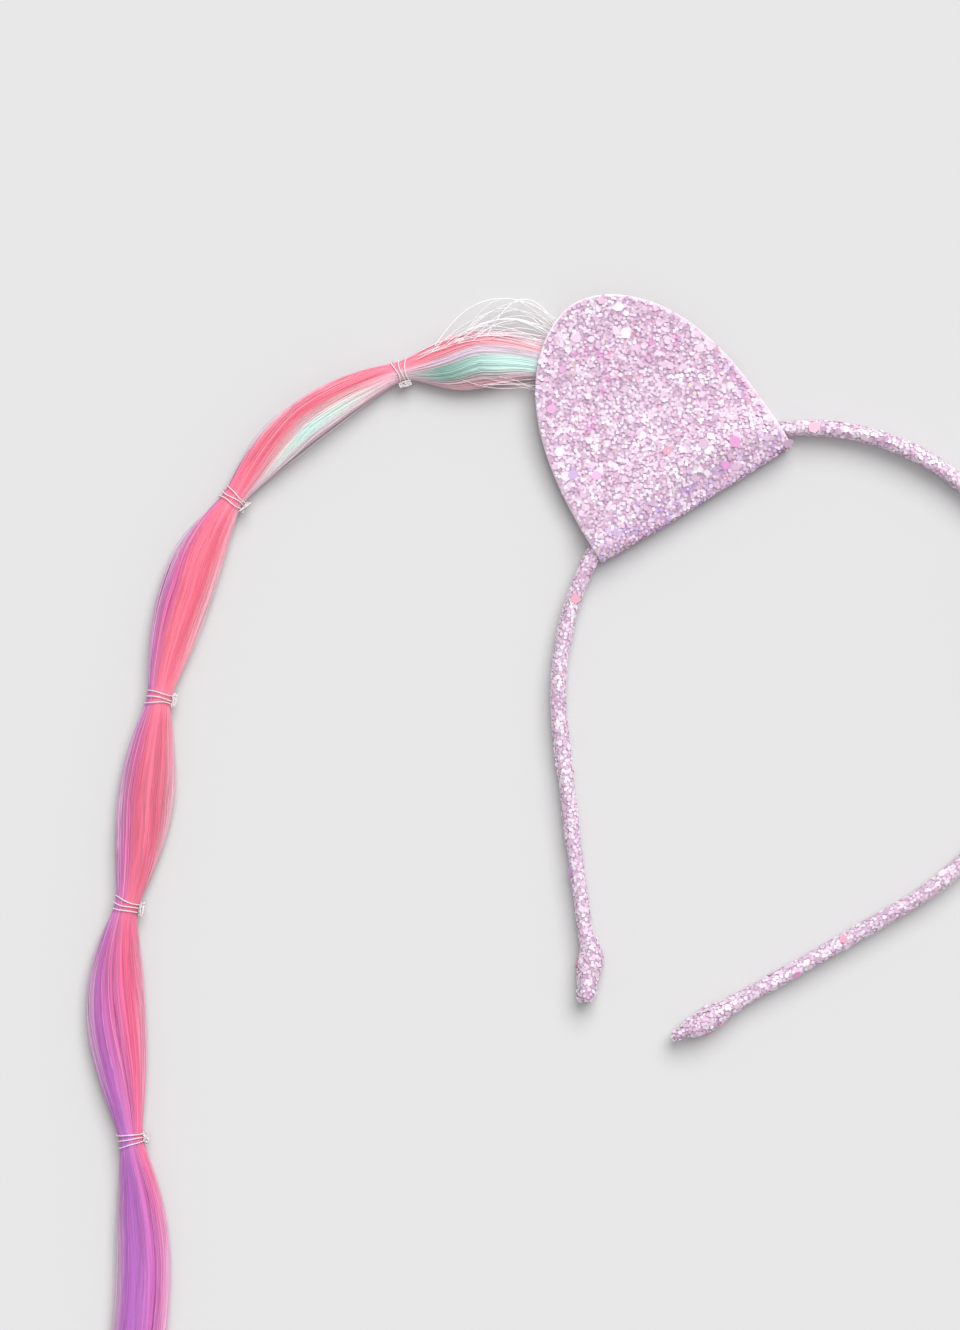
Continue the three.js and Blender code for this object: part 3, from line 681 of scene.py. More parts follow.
def make_ears():
    across, along, middle, half, inner_along, inner, edge = ear_surfaces()
    rim = 0.35 * np.exp(-outline_distance(across, along) / 0.35) * (along > 1)
    outside = folded(
        ear_points(across, along, middle + half - rim), ear_points(across, along, middle - half + rim)
    )
    inside = folded(
        ear_points(across, inner_along, middle + inner), ear_points(across, inner_along, middle - inner)
    )
    rows, columns = outside.shape[:2]
    count = rows * columns
    faces = [grid_faces(rows, columns), grid_faces(rows, columns, first=count)[:, ::-1]]
    index = np.arange(count).reshape(rows, columns)
    rings = np.concatenate([index[0, :-1], index[:-1, -1], index[-1, :0:-1], index[:0:-1, 0]])
    after = np.roll(rings, -1)
    faces.append(np.stack([after, rings, rings + count, after + count], -1))
    pale = folded(edge, edge).astype(float)
    edges = np.concatenate([pale.ravel(), np.where(pale > 0, 1, 0.35).ravel()])

    # Painted highlight: a paler band of flakes along the band's crest, where its lit slope shows bright
    ridge = np.exp(-((along - band_along(across)) / RIDGE_HIGHLIGHT_WIDTH) ** 2)
    fields = {
        "room": folded(outline_distance(across, along) + 10 * (along < 1), outline_distance(across, along)),
        "along": folded(along, along),
        "ridge": folded(ridge, ridge),
    }
    for side, name in ((1, "left"), (-1, "right")):
        rng = np.random.default_rng(FLAKE_SEED + side + 5)
        points = np.concatenate([outside.reshape(-1, 3), inside.reshape(-1, 3)])
        grid = outside
        if side < 0:
            points, grid = mirrored(points), mirrored(grid)
        sheet = build(
            f"{name}_ear_cloth", points, faces, backing_painted_shade_look, (f"{name}_ear",),
            values={"edge": edges},
        )
        normals = grid_normals(grid)
        if np.mean(normals[rows // 4, :, 2]) < 0:
            normals = -normals
        places, facing, found = scattered(rng, grid, normals, fields)
        inner_place = found["room"] > CUT_MARGIN * 0.9
        # Painted shade: plates within 9 mm of the fold lean to the purple tint, where the cloth turns away
        # from the light
        fold_shade = np.clip(1 - found["along"] / 9, 0, 1)[inner_place]
        plates = flakes(
            f"{name}_ear_glitter", rng, places[inner_place], facing[inner_place], fold_shade,
            pale=RIDGE_PAINTED_HIGHLIGHT * found["ridge"][inner_place],
        )


make_ears()


# Band and its wrapped tips
BAND_RING = 28
BAND_STEP = 1.2
PLATE_COVER = 0.5
WRAP_ROUGH = 0.6
WRAP_PALE = 0.27
CAP_ROUGH = 0.85
CAP_PALE = 0.28
WRAP_NOISE = lattice(WRAP_SEED, 90, 16)


def tube_grid(distances, half_thickness, half_width, uneven):
    """Grid of points round the band at the distances given, with the half sizes of its section there"""
    centre, outward = band_station(distances)
    angle = np.arange(BAND_RING) * 2 * np.pi / BAND_RING
    along = distances[:, None] / 6 + 40
    around = angle[None, :] * 16 / (2 * np.pi)
    swell = uneven * (WRAP_NOISE(along, around) - 0.5)
    out = (half_thickness[:, None] + swell) * np.cos(angle)
    up = (half_width[:, None] + swell) * np.sin(angle)
    plan = centre[:, None, :] + outward[:, None, :] * out[..., None]
    return np.concatenate([plan, (MIDDLE + up)[..., None]], -1)


def closed_tube(grid):
    """Points and faces of a tube through the grid's rings, with a fan over each end"""
    rows, columns = grid.shape[:2]
    points = np.concatenate([grid.reshape(-1, 3), grid[0].mean(0)[None], grid[-1].mean(0)[None]])
    ring = np.arange(columns)
    after = (ring + 1) % columns
    first = rows * columns
    start = np.stack([after, ring, np.full(columns, first)], -1)
    end = np.stack([ring, after, np.full(columns, first + 1)], -1)
    end = end + np.array([1, 1, 0]) * (rows - 1) * columns
    return points, [grid_faces(rows, columns, wrap=True), start, end]


def wrapped_grid(grid):
    """The same grid with its first column repeated, for scattering"""
    return np.concatenate([grid, grid[:, :1]], 1)


def cloth_tube(name, grid, outward):
    """Cloth through the grid's rings. Returns the grid and its normals, for scattering plates."""
    points, faces = closed_tube(grid)
    build(
        f"{name}_cloth", points, faces, backing_painted_shade_look, (name,),
        values={"edge": np.zeros(len(points))},
    )
    round_grid = wrapped_grid(grid)
    normals = grid_normals(round_grid)
    if np.sum(normals[:, 0, :2] * outward) < 0:
        normals = -normals
    return round_grid, normals


def make_band():
    rng = np.random.default_rng(FLAKE_SEED + 3)
    distances = np.linspace(-(HALF - 6), HALF - 6, int(2 * (HALF - 6) / BAND_STEP))
    thickness = np.full(len(distances), BAND_THICKNESS / 2 - PLATE_COVER)
    grid = tube_grid(distances, thickness, np.full(len(distances), BAND_WIDTH / 2 - PLATE_COVER), 0.35)
    round_grid, normals = cloth_tube("band", grid, band_station(distances)[1])
    field = {"at": np.repeat(distances[:, None], round_grid.shape[1], 1)}
    places, facing, found = scattered(rng, round_grid, normals, field)
    reach = np.abs(found["at"])
    hidden = np.abs(reach - EAR_POSITION) < EAR_WIDTH / 2 - 1.5
    shown = ~hidden & (reach < HALF - 12)
    flakes(
        "band_glitter", rng, places[shown], facing[shown], rough=WRAP_ROUGH, pale=WRAP_PALE
    )


def make_cap(name, facts, seed):
    rng = np.random.default_rng(seed)
    mouth = HALF - facts["length"]
    share = np.linspace(0, 1, 26)
    thickness = np.interp(share, facts["at"], facts["width_share"]) * facts["width"] / 2 - PLATE_COVER
    height = np.interp(share, facts["at"], facts["height_share"]) * CAP_HEIGHT / 2 - PLATE_COVER
    distances = facts["side"] * (mouth + share * facts["length"])
    outside = tube_grid(distances, thickness, height, 0.7)
    bend = np.interp(share, facts["at"], facts["bend"])
    outside[..., :2] += (band_station(distances)[1] * bend[:, None])[:, None, :]
    round_grid, normals = cloth_tube(name, outside, band_station(distances)[1])
    places, facing, _ = scattered(rng, round_grid, normals, {})
    end_centre, _ = band_station(distances[-1:])
    forward = band_station(distances[-1:] + facts["side"])[0] - end_centre
    ring = outside[-1]
    inner = np.stack([ring * (1 - 0.33 * k) + ring.mean(0) * 0.33 * k for k in range(3)])
    end_grid = wrapped_grid(inner)
    end_normal = np.concatenate([forward[0], [0]])
    end_normals = np.broadcast_to(end_normal / np.linalg.norm(end_normal), end_grid.shape)
    ends, end_facing, _ = scattered(rng, end_grid, end_normals, {})
    flakes(
        f"{name}_glitter", rng, np.concatenate([places, ends]), np.concatenate([facing, end_facing]),
        rough=CAP_ROUGH, pale=CAP_PALE,
    )


make_band()
for offset, (cap_name, cap_facts) in enumerate(CAPS.items()):
    make_cap(cap_name, cap_facts, FLAKE_SEED + 50 + offset)


# Hair
ROOT = EAR_ORIGIN + HAIR_ROOT_ASIDE * EAR_ACROSS + HAIR_ROOT_HEIGHT * EAR_ALONG
EAR_HEADING = math.degrees(math.atan2(EAR_ALONG[1], EAR_ALONG[0]))
HAIR_START = ROOT + CLASP_OVERLAP * EAR_ALONG
HAIR_TRACK = arc_track(*HAIR_START, EAR_HEADING, HAIR_ARCS, HAIR_LENGTH - CLASP_OVERLAP, 10)


# How far the hair lies outward of the part's smooth path, by distance from its root
HAIR_SWAY = [(20, 0), (30, 0.7), (38, 1.2), (54, 0.7), (66, 1.7), (85, 1.2), (104, 0.7), (118, 0)]


def hair_station(distance):
    """Centre, outer side and forward direction in plan at distances from the hair's root"""
    beyond = np.clip(distance - CLASP_OVERLAP, 0, None)
    held = np.minimum(distance, CLASP_OVERLAP) - CLASP_OVERLAP
    at, xs, ys, headings = HAIR_TRACK
    heading = np.interp(beyond, at, headings)
    centre = np.stack([np.interp(beyond, at, xs), np.interp(beyond, at, ys)], -1)
    centre = centre + held[..., None] * EAR_ALONG
    outer = np.stack([np.sin(heading), -np.cos(heading)], -1)
    forward = np.stack([np.cos(heading), np.sin(heading)], -1)
    sway = np.interp(distance, [place for place, _ in HAIR_SWAY], [offset for _, offset in HAIR_SWAY])
    return centre + outer * sway[..., None], outer, forward


def held_reach(row):
    place, _, _, base, _ = row
    if base is None:
        return ELASTIC_SPREAD / 2
    return CLASP_OVERLAP if place == 0 else 0


def section_table():
    """Half width, half height, middle level, lock starts and closeness to a tie at even steps"""
    distances = np.arange(0, HAIR_LENGTH + 0.5, 0.5)
    rows = []
    for distance in distances:
        index = 1
        while index < len(HAIR_SECTIONS) - 1 and HAIR_SECTIONS[index][0] * HAIR_LENGTH < distance:
            index += 1
        before, after = HAIR_SECTIONS[index - 1], HAIR_SECTIONS[index]
        start = before[0] * HAIR_LENGTH + held_reach(before)
        end = after[0] * HAIR_LENGTH - held_reach(after)
        share = min(1, max(0, (distance - start) / (end - start)))
        if before[3] is None:
            eased = math.sin(share * math.pi / 2)
        elif after[3] is None:
            eased = 1 - math.cos(share * math.pi / 2)
        else:
            eased = float(smooth(share))
        bases = [ELASTIC_THICKNESS + FIT_GAP if row[3] is None else row[3] * HAIR_HEIGHT
                 for row in (before, after)]
        tied = [1.0 if row[3] is None else 0.0 for row in (before, after)]
        half_width = (before[1] + (after[1] - before[1]) * eased) * HAIR_WIDTH / 2
        half_height = (before[2] + (after[2] - before[2]) * eased) * HAIR_HEIGHT / 2
        base = bases[0] + (bases[1] - bases[0]) * eased
        starts = [a + (b - a) * share for a, b in zip(before[4], after[4])]
        near_tie = tied[0] + (tied[1] - tied[0]) * eased
        rows.append([half_width, half_height, base + half_height, near_tie, *starts])
    return distances, np.array(rows)


SECTION_AT, SECTION_ROWS = section_table()


def section(distance, column):
    return np.interp(distance, SECTION_AT, SECTION_ROWS[:, column])


def lock_span(distance, lock):
    """Angle where a lock begins and how far it sweeps"""
    begin = section(distance, 4 + lock)
    following = section(distance, 4 + (lock + 1) % len(LOCKS))
    return begin, np.mod(following - begin, 360)


def hair_point(distance, angle, lift):
    """Point on the bundle's surface at an angle in degrees, raised by the lift"""
    centre, outer, _ = hair_station(distance)
    turn = np.radians(angle)
    out = (section(distance, 0) + lift) * np.cos(turn)
    up = (section(distance, 1) + lift) * np.sin(turn)
    plan = centre + outer * out[..., None]
    level = np.maximum(section(distance, 2) + up, 0.06)
    return np.concatenate([plan, level[..., None]], -1)


# Colours of each lock by distance from the hair's root
BLUSH = (253, 204, 214)
ROSE = (253, 150, 168)
CORAL = (244, 117, 146)
RASPBERRY = (230, 108, 140)
DUSTY_ROSE = (228, 140, 160)
HOT_PINK = (236, 106, 150)
ORCHID = (232, 124, 190)
MAGENTA = (198, 104, 184)
VIOLET = (184, 104, 190)
LILAC = (214, 160, 212)
MINT = (222, 250, 245)
# Darker teal where the mint lock nears the first tie: painted shade
MINT_IN_SHADE = (140, 186, 174)
PEARL = (238, 244, 238)
SHELL = (240, 188, 206)
# Dusky pink of the pale lock's underside near the root: partly its own colour, partly painted shade
DUSKY_PINK_AND_SHADE = (208, 132, 146)
LOCK_COLOURS = {
    "pink": [
        (0, BLUSH), (36, BLUSH), (48, ROSE), (70, CORAL), (155, CORAL), (182, RASPBERRY), (215, RASPBERRY),
        (236, HOT_PINK), (275, HOT_PINK), (300, ORCHID), (348, ORCHID),
    ],
    "mint": [
        (0, MINT), (40, MINT), (56, MINT_IN_SHADE), (68, SHELL), (80, PEARL), (92, MINT), (100, PEARL),
        (114, SHELL), (128, ROSE), (160, ROSE), (186, DUSTY_ROSE), (212, DUSTY_ROSE), (240, ORCHID),
        (348, LILAC),
    ],
    "pale": [
        (0, DUSKY_PINK_AND_SHADE), (52, DUSKY_PINK_AND_SHADE), (66, SHELL), (104, SHELL), (150, BLUSH), (240, BLUSH), (300, ORCHID),
        (348, ORCHID),
    ],
    "purple": [
        (0, LILAC), (66, LILAC), (110, MAGENTA), (220, MAGENTA), (270, VIOLET), (348, VIOLET),
    ],
}
BORDER_BLEND = 0.3
# Painted light at the bundle's sides: its colour, how much of it and where it starts
PAINTED_EDGE_LIGHT_COLOUR = (244, 226, 236)
PAINTED_EDGE_LIGHT_SHARE = 0.45
PAINTED_EDGE_LIGHT_START = 0.62
# Paling where unlike locks meet near the root: partly the pale fibres there, partly painted light that lifts
# the shade in the groove between the locks
PALE_AND_LIT_BORDER = 2.2
PALE_AND_LIT_BORDER_COLOUR = (242, 230, 252)
PALE_AND_LIT_BORDER_START = 0.2
PALE_AND_LIT_BORDER_END = 80
PALE_AND_LIT_BORDER_UNDER = 62
PALE_AND_LIT_BORDER_FADE = 14


def lock_colour(lock, distance):
    """Linear colour of a lock at distances from its root"""
    rows = LOCK_COLOURS[LOCKS[lock]]
    places = [place for place, _ in rows]
    colours = np.array([linear(colour) for _, colour in rows])
    return np.stack([np.interp(distance, places, colours[:, channel]) for channel in range(3)], -1)


def hair_tone(lock, distance, share, angle):
    """Colour at a share of a lock's sweep: it runs into its neighbours, pales where unlike locks meet near
    the root, partly as painted light, and pales at the bundle's sides as painted light
    """
    own = lock_colour(lock, distance)
    before = lock_colour((lock - 1) % len(LOCKS), distance)
    after = lock_colour((lock + 1) % len(LOCKS), distance)
    to_before = 0.5 * (1 - smooth(share / BORDER_BLEND))[..., None]
    to_after = 0.5 * (1 - smooth((1 - share) / BORDER_BLEND))[..., None]
    tone = own * (1 - to_before - to_after) + before * to_before + after * to_after
    # Partly pale fibres, partly painted light, where unlike locks meet within the first 80 mm
    reach = distance[..., None]
    pale_and_lit = np.clip((PALE_AND_LIT_BORDER_END - reach) / PALE_AND_LIT_BORDER_FADE, 0, 1)
    under = pale_and_lit * np.clip((reach - PALE_AND_LIT_BORDER_UNDER) / PALE_AND_LIT_BORDER_FADE, 0, 1)
    name = LOCKS[lock]
    fade_before = under if name == "pale" else pale_and_lit
    fade_after = under if name == "mint" else pale_and_lit
    unlike = np.abs(own - before).sum(-1, keepdims=True) * to_before * fade_before
    unlike = unlike + np.abs(own - after).sum(-1, keepdims=True) * to_after * fade_after
    tone = tone + (linear(PALE_AND_LIT_BORDER_COLOUR) - tone) * np.clip(PALE_AND_LIT_BORDER * (unlike - PALE_AND_LIT_BORDER_START), 0, 0.9)
    # Painted light: the bundle's sides are paled, standing for light that comes through the thin hair there
    aside = (np.abs(np.cos(np.radians(angle))) - PAINTED_EDGE_LIGHT_START) / (1 - PAINTED_EDGE_LIGHT_START)
    edge = PAINTED_EDGE_LIGHT_SHARE * (smooth(aside) * (1 - section(distance, 3)))[..., None]
    return tone * (1 - edge) + linear(PAINTED_EDGE_LIGHT_COLOUR) * edge


def hair_material():
    """Fine glossy fibre: streaks that run with the hair, over each strand's own colour"""
    material, tree, shader = new_material("hair_fibre")
    combine = tree.nodes.new("ShaderNodeCombineXYZ")
    tree.links.new(math_node(tree, "MULTIPLY", attribute(tree, "around"), 3.2), combine.inputs["X"])
    tree.links.new(math_node(tree, "MULTIPLY", attribute(tree, "length"), 0.05), combine.inputs["Y"])
    fine = noise_node(tree, 1.0, 4, combine.outputs["Vector"])
    streak = ramp(tree, fine, [(0.28, grey(0.88)), (0.5, grey(0.98)), (0.74, grey(1))])
    tone = attribute(tree, "tone", "Color")
    tree.links.new(mixed(tree, "MULTIPLY", 1.0, tone, streak), shader.inputs["Base Color"])
    gloss = ramp(tree, fine, [(0.3, grey(0.46)), (0.7, grey(0.3))])
    tree.links.new(gloss, shader.inputs["Roughness"])
    shader.inputs["Specular IOR Level"].default_value = 0.5
    bumped(tree, shader, fine, 0.25, 0.00015)
    return material


hair_look = hair_material()
BODY_STEP = 1.3
BODY_ARC = 30
COARSE_NOISE = lattice(HAIR_SEED, 40, 64)
FINE_NOISE = lattice(HAIR_SEED + 1, 90, 64)
BODY_END = 0.975
GROOVE_DEPTH = 0.34
FINE_DEPTH = 0.14
STRAY_LIFT = 2.4
CALM_LIFT = 0.5


def lock_body(lock):
    """Points, faces and flow of a lock's solid middle, with grooves that run along it"""
    distances = np.arange(0, HAIR_LENGTH * BODY_END, BODY_STEP)
    share = np.linspace(0, 1, BODY_ARC)
    begin, sweep = lock_span(distances, lock)
    angle = begin[:, None] + sweep[:, None] * (0.005 + 0.99 * share[None, :])
    tie = section(distances, 3)[:, None]
    room = 1 - 0.8 * tie
    ends = np.clip((HAIR_LENGTH * BODY_END - distances) / 22, 0, 1)[:, None]
    coarse = COARSE_NOISE(share[None, :] * 7 + 9 * lock, distances[:, None] / 26)
    fine = FINE_NOISE(share[None, :] * 21 + 23 * lock, distances[:, None] / 34)
    lift = -GROOVE_DEPTH * room * coarse - FINE_DEPTH * (0.3 + 0.7 * room) * fine - 0.12 * room
    border = np.minimum(share, 1 - share)[None, :] * np.radians(sweep)[:, None]
    border = border * section(distances, 0)[:, None]
    lift = lift - 0.08 * np.exp(-border / 0.35)
    grid_distance = np.repeat(distances[:, None], BODY_ARC, 1)
    surface = hair_point(grid_distance, angle, lift)
    axis = hair_point(distances, begin + sweep / 2, -section(distances, 0) * 0.9)
    middle = hair_station(distances)[0]
    axis[:, :2] = middle + (axis[:, :2] - middle) * 0.6
    rise = np.sin(np.radians(begin + sweep / 2))
    axis[:, 2] = section(distances, 2) + 0.25 * section(distances, 1) * rise
    ring = np.concatenate([surface, axis[:, None, :]], 1)
    heart = ring.mean(1, keepdims=True)
    ring = heart + (ring - heart) * (0.25 + 0.75 * ends[..., None] ** 0.5)
    points, faces = closed_tube(ring)
    around = np.concatenate([share * 14 + 31 * lock, [31 * lock + 7.0]])
    around = np.repeat(around[None, :], len(distances), 0).ravel()
    length = np.repeat(distances[:, None], BODY_ARC + 1, 1).ravel()
    extra = [(around[0], 0.0), (around[0], distances[-1])]
    around = np.concatenate([around, [row[0] for row in extra]])
    length = np.concatenate([length, [row[1] for row in extra]])
    tone = hair_tone(lock, grid_distance, np.broadcast_to(share[None, :], angle.shape), angle)
    tone = np.concatenate([tone, tone.mean(1, keepdims=True)], 1).reshape(-1, 3)
    tone = np.concatenate([tone, tone[:1], tone[-1:]])
    return points, faces, around, length, tone


def tubes(paths, radii, sides):
    """Points and faces of thin closed tubes along paths of the same number of points"""
    forward = np.gradient(paths, axis=1)
    forward /= np.maximum(np.linalg.norm(forward, axis=-1), 1e-9)[..., None]
    across = np.cross(forward, np.array([0, 0, 1.0]))
    across /= np.maximum(np.linalg.norm(across, axis=-1), 1e-6)[..., None]
    above = np.cross(across, forward)
    count, steps = paths.shape[:2]
    turn = (np.arange(sides) + 0.5) * 2 * np.pi / sides
    ring = across[:, :, None, :] * np.cos(turn)[:, None] + above[:, :, None, :] * np.sin(turn)[:, None]
    points = paths[:, :, None, :] + ring * radii[:, :, None, None]
    one = grid_faces(steps, sides, wrap=True)
    base = (np.arange(count) * steps * sides)[:, None, None]
    quads = (one[None] + base).reshape(-1, 4)
    cap = np.arange(sides)[None, :]
    first = cap[:, ::-1] + base[:, :, 0]
    last = cap + (steps - 1) * sides + base[:, :, 0]
    return points.reshape(-1, 3), [quads, first, last]


STRAND_STEPS = 112
STRAND_SIDES = 5
STRAND_COUNT = 50
LOOSE_SHARE = 0.14


def lock_strands(lock, rng, count):
    """Paths, radii and colours of the loose strands that lie on a lock"""
    reach = HAIR_LENGTH * rng.uniform(0.93, 1.0, count)
    steps = np.linspace(0, 1, STRAND_STEPS)
    distance = steps[None, :] * reach[:, None]
    home = (np.arange(count) + rng.random(count)) / count

    def drift(noise, rows, length):
        row = rng.uniform(0, rows, count)[:, None]
        return noise(row, distance / length + rng.uniform(0, 64, count)[:, None])

    wander = drift(COARSE_NOISE, 40, 60)
    share = home[:, None] + (wander - 0.5) * 0.22
    begin, sweep = lock_span(distance, lock)
    angle = begin + sweep * share
    room = 1 - section(distance, 3)
    rise = drift(FINE_NOISE, 90, 24)
    loose = rng.random(count) < LOOSE_SHARE
    stray = np.where(loose, STRAY_LIFT, CALM_LIFT)[:, None]
    lift = -0.12 + room * (stray * np.clip(rise - 0.4, 0, 1) + 0.02)
    paths = hair_point(distance, angle, lift)
    radius = np.where(loose, 0.05, rng.uniform(0.045, 0.08, count))[:, None] * np.ones_like(distance)
    radius *= np.clip((1 - steps) / 0.04, 0.15, 1)[None, :]
    paths[..., 2] = np.maximum(paths[..., 2], radius + FLOOR_CLEAR)
    colour = hair_tone(lock, distance, np.clip(share, 0, 1), angle)
    neighbour = np.where(rng.random(count) < 0.5, (lock + 1) % 4, (lock - 1) % 4)
    visiting = rng.random(count) < 0.06
    for index in np.nonzero(visiting)[0]:
        colour[index] = 0.6 * colour[index] + 0.4 * lock_colour(int(neighbour[index]), distance[index])
    colour = colour * rng.uniform(0.94, 1.04, count)[:, None, None]
    colour = colour + (1 - colour) * rng.uniform(0, 0.1, count)[:, None, None]
    return paths, radius, colour


# White strands beside the ear: how many, where they land on the hair, how high they loop, their
# offset where they leave the ear, their radius and their colour
WISPS = [
    {"count": 8, "land": (44, 60), "loop": (4, 11), "leave": (1.5, 9), "radius": (0.08, 0.13),
     "colour": (252, 250, 251)},
    {"count": 9, "land": (42, 60), "loop": (1.5, 6.5), "leave": (1.5, 8), "radius": (0.05, 0.09),
     "colour": (250, 247, 248)},
    {"count": 14, "land": (44, 62), "loop": (0.2, 1.8), "leave": (3, 4.6), "radius": (0.08, 0.13),
     "colour": (255, 236, 241)},
    {"count": 7, "land": (40, 58), "loop": (-4.5, -1.0), "leave": (-5, -2), "radius": (0.05, 0.09),
     "colour": (250, 226, 230)},
]


def root_wisps(rng, kind):
    """Strands that loop out beside the hair from under the ear and come back to it"""
    count = kind["count"]
    steps = np.linspace(0, 1, 44)[None, :]

    def spread(key):
        return rng.uniform(*kind[key], count)[:, None]

    begin = rng.uniform(26, 29.5, count)[:, None]
    distance = begin + (spread("land") - begin) * steps
    side = np.sign(kind["loop"][0])
    hump = np.sin(np.pi * steps ** rng.uniform(0.5, 1.2, count)[:, None])
    landing = side * section(distance, 0) * rng.uniform(0.55, 0.95, count)[:, None]
    away = spread("leave") * (1 - steps) + landing * steps + spread("loop") * hump
    centre, outer, _ = hair_station(distance)
    plan = centre + outer * away[..., None]
    top = section(distance, 2) + section(distance, 1) * 0.75
    level = 2.2 + (top - 2.2) * steps ** 2 + rng.uniform(0.5, 3.0, count)[:, None] * hump
    paths = np.concatenate([plan, np.maximum(level, 0.3)[..., None]], -1)
    radius = spread("radius") * np.ones_like(distance)
    colour = np.broadcast_to(linear(kind["colour"]), (*distance.shape, 3))
    return paths, radius, colour


def make_lock(lock):
    rng = np.random.default_rng(HAIR_SEED + 10 * lock)
    name = LOCKS[lock]
    points, faces, around, length, tone = lock_body(lock)
    groups = [lock_strands(lock, rng, STRAND_COUNT)]
    if name == "pale":
        groups.extend(root_wisps(rng, kind) for kind in WISPS)
    all_points, all_faces = [points], list(faces)
    all_around, all_length, all_tone = [around], [length], [tone]
    total = len(points)
    for paths, radius, colour in groups:
        strand_points, strand_faces = tubes(paths, radius, STRAND_SIDES)
        all_faces.extend(faces_set + total for faces_set in strand_faces)
        total += len(strand_points)
        all_points.append(strand_points)
        count, steps = paths.shape[:2]
        own = np.repeat(rng.uniform(0, 40, count), steps * STRAND_SIDES)
        all_around.append(own)
        all_length.append(np.tile(np.repeat(np.linspace(0, HAIR_LENGTH, steps), STRAND_SIDES), count))
        all_tone.append(np.repeat(colour.reshape(-1, 3), STRAND_SIDES, 0))
    joined = {}
    for faces_set in all_faces:
        joined.setdefault(faces_set.shape[1], []).append(faces_set)
    build(
        f"{name}_hair", np.concatenate(all_points), [np.concatenate(group) for group in joined.values()],
        hair_look, (f"{name}_lock",),
        values={"around": np.concatenate(all_around), "length": np.concatenate(all_length)},
        colours={"tone": np.concatenate(all_tone)},
    )


for lock_index in range(len(LOCKS)):
    make_lock(lock_index)


# Elastics: clear rubber strands round each tie, with a tangled knot
def elastic_material():
    material, tree, shader = new_material("clear_elastic")
    cloud = noise_node(tree, 900, 2)
    tint = ramp(tree, cloud, [(0.3, rgba((252, 240, 242))), (0.7, rgba((255, 252, 252)))])
    tree.links.new(tint, shader.inputs["Base Color"])
    shader.inputs["Roughness"].default_value = 0.16
    shader.inputs["Transmission Weight"].default_value = 0.35
    shader.inputs["IOR"].default_value = 1.46
    return material


elastic_look = elastic_material()
ELASTIC_SIDES = 8
ELASTIC_RADIUS = 0.15
KNOT_LOOPS = 5
KNOT_STRAND_RADIUS = 0.12


def make_elastic(number, distance):
    rng = np.random.default_rng(ELASTIC_SEED + number)
    steps = 64
    knot = math.radians(KNOT_ANGLE)
    angle = knot + np.linspace(0, 2 * math.pi, steps)
    centre, outer, forward = (row[0] for row in hair_station(np.array([distance])))
    half_width, half_height, level, _ = (float(section(distance, column)) for column in range(4))
    clear = FIT_GAP + 0.1
    to_knot = 0.5 + 0.5 * np.cos(angle - knot)
    paths = []
    for turn in range(ELASTIC_TURNS):
        spread = ELASTIC_SPREAD * (turn / (ELASTIC_TURNS - 1) - 0.5)
        wave = 0.16 * np.sin(2 * angle + rng.uniform(0, 6)) + 0.12 * np.sin(3 * angle + rng.uniform(0, 6))
        lean = spread * (1 - 0.45 * to_knot) + wave
        plan = centre + forward * lean[:, None] + outer * ((half_width + clear) * np.cos(angle))[:, None]
        rise = level + (half_height + clear) * np.sin(angle)
        paths.append(np.concatenate([plan, rise[:, None]], 1))
    heart = centre + outer * (half_width + KNOT_RADIUS * 0.7) * math.cos(knot)
    heart = np.array([*heart, level + (half_height + KNOT_RADIUS) * math.sin(knot)])
    path_steps = np.linspace(0, 1, steps)
    for _ in range(KNOT_LOOPS):
        sizes = rng.uniform(0.4, 1.0, 3) * np.array([1.7, 0.7, 0.9])
        phases = rng.uniform(0, 2 * math.pi, 3)
        counts = rng.integers(1, 5, 3)
        along, out, up = (
            size * np.sin(2 * math.pi * count * path_steps + phase)
            for size, phase, count in zip(sizes, phases, counts)
        )
        plan = heart[:2] + forward * along[:, None] + outer * out[:, None]
        paths.append(np.concatenate([plan, (heart[2] + up)[:, None]], 1))
    paths = np.array(paths)
    paths[..., 2] = np.maximum(paths[..., 2], ELASTIC_RADIUS + FLOOR_CLEAR)
    radii = np.full(paths.shape[:2], ELASTIC_RADIUS)
    radii[ELASTIC_TURNS:] = KNOT_STRAND_RADIUS
    points, faces = tubes(paths, radii, ELASTIC_SIDES)
    build(f"elastic_{number}_band", points, faces, elastic_look, (f"elastic_{number}",))


tie_rows = [row for row in HAIR_SECTIONS if row[3] is None]
for tie_number, tie_row in enumerate(tie_rows, 1):
    make_elastic(tie_number, tie_row[0] * HAIR_LENGTH)


# Clasp: a stitched felt pad with two raised rims that hold the flattened root
def felt_material():
    material, tree, shader = new_material("felt_backing")
    fuzz = noise_node(tree, 1800, 5)
    tint = ramp(tree, fuzz, [(0.3, rgba((206, 184, 208))), (0.7, rgba((238, 222, 238)))])
    tree.links.new(tint, shader.inputs["Base Color"])
    shader.inputs["Roughness"].default_value = 0.95
    bumped(tree, shader, fuzz, 0.6, 0.0002)
    return material


CLASP_GRAIN = lattice(WRAP_SEED + 1, 32, 32)


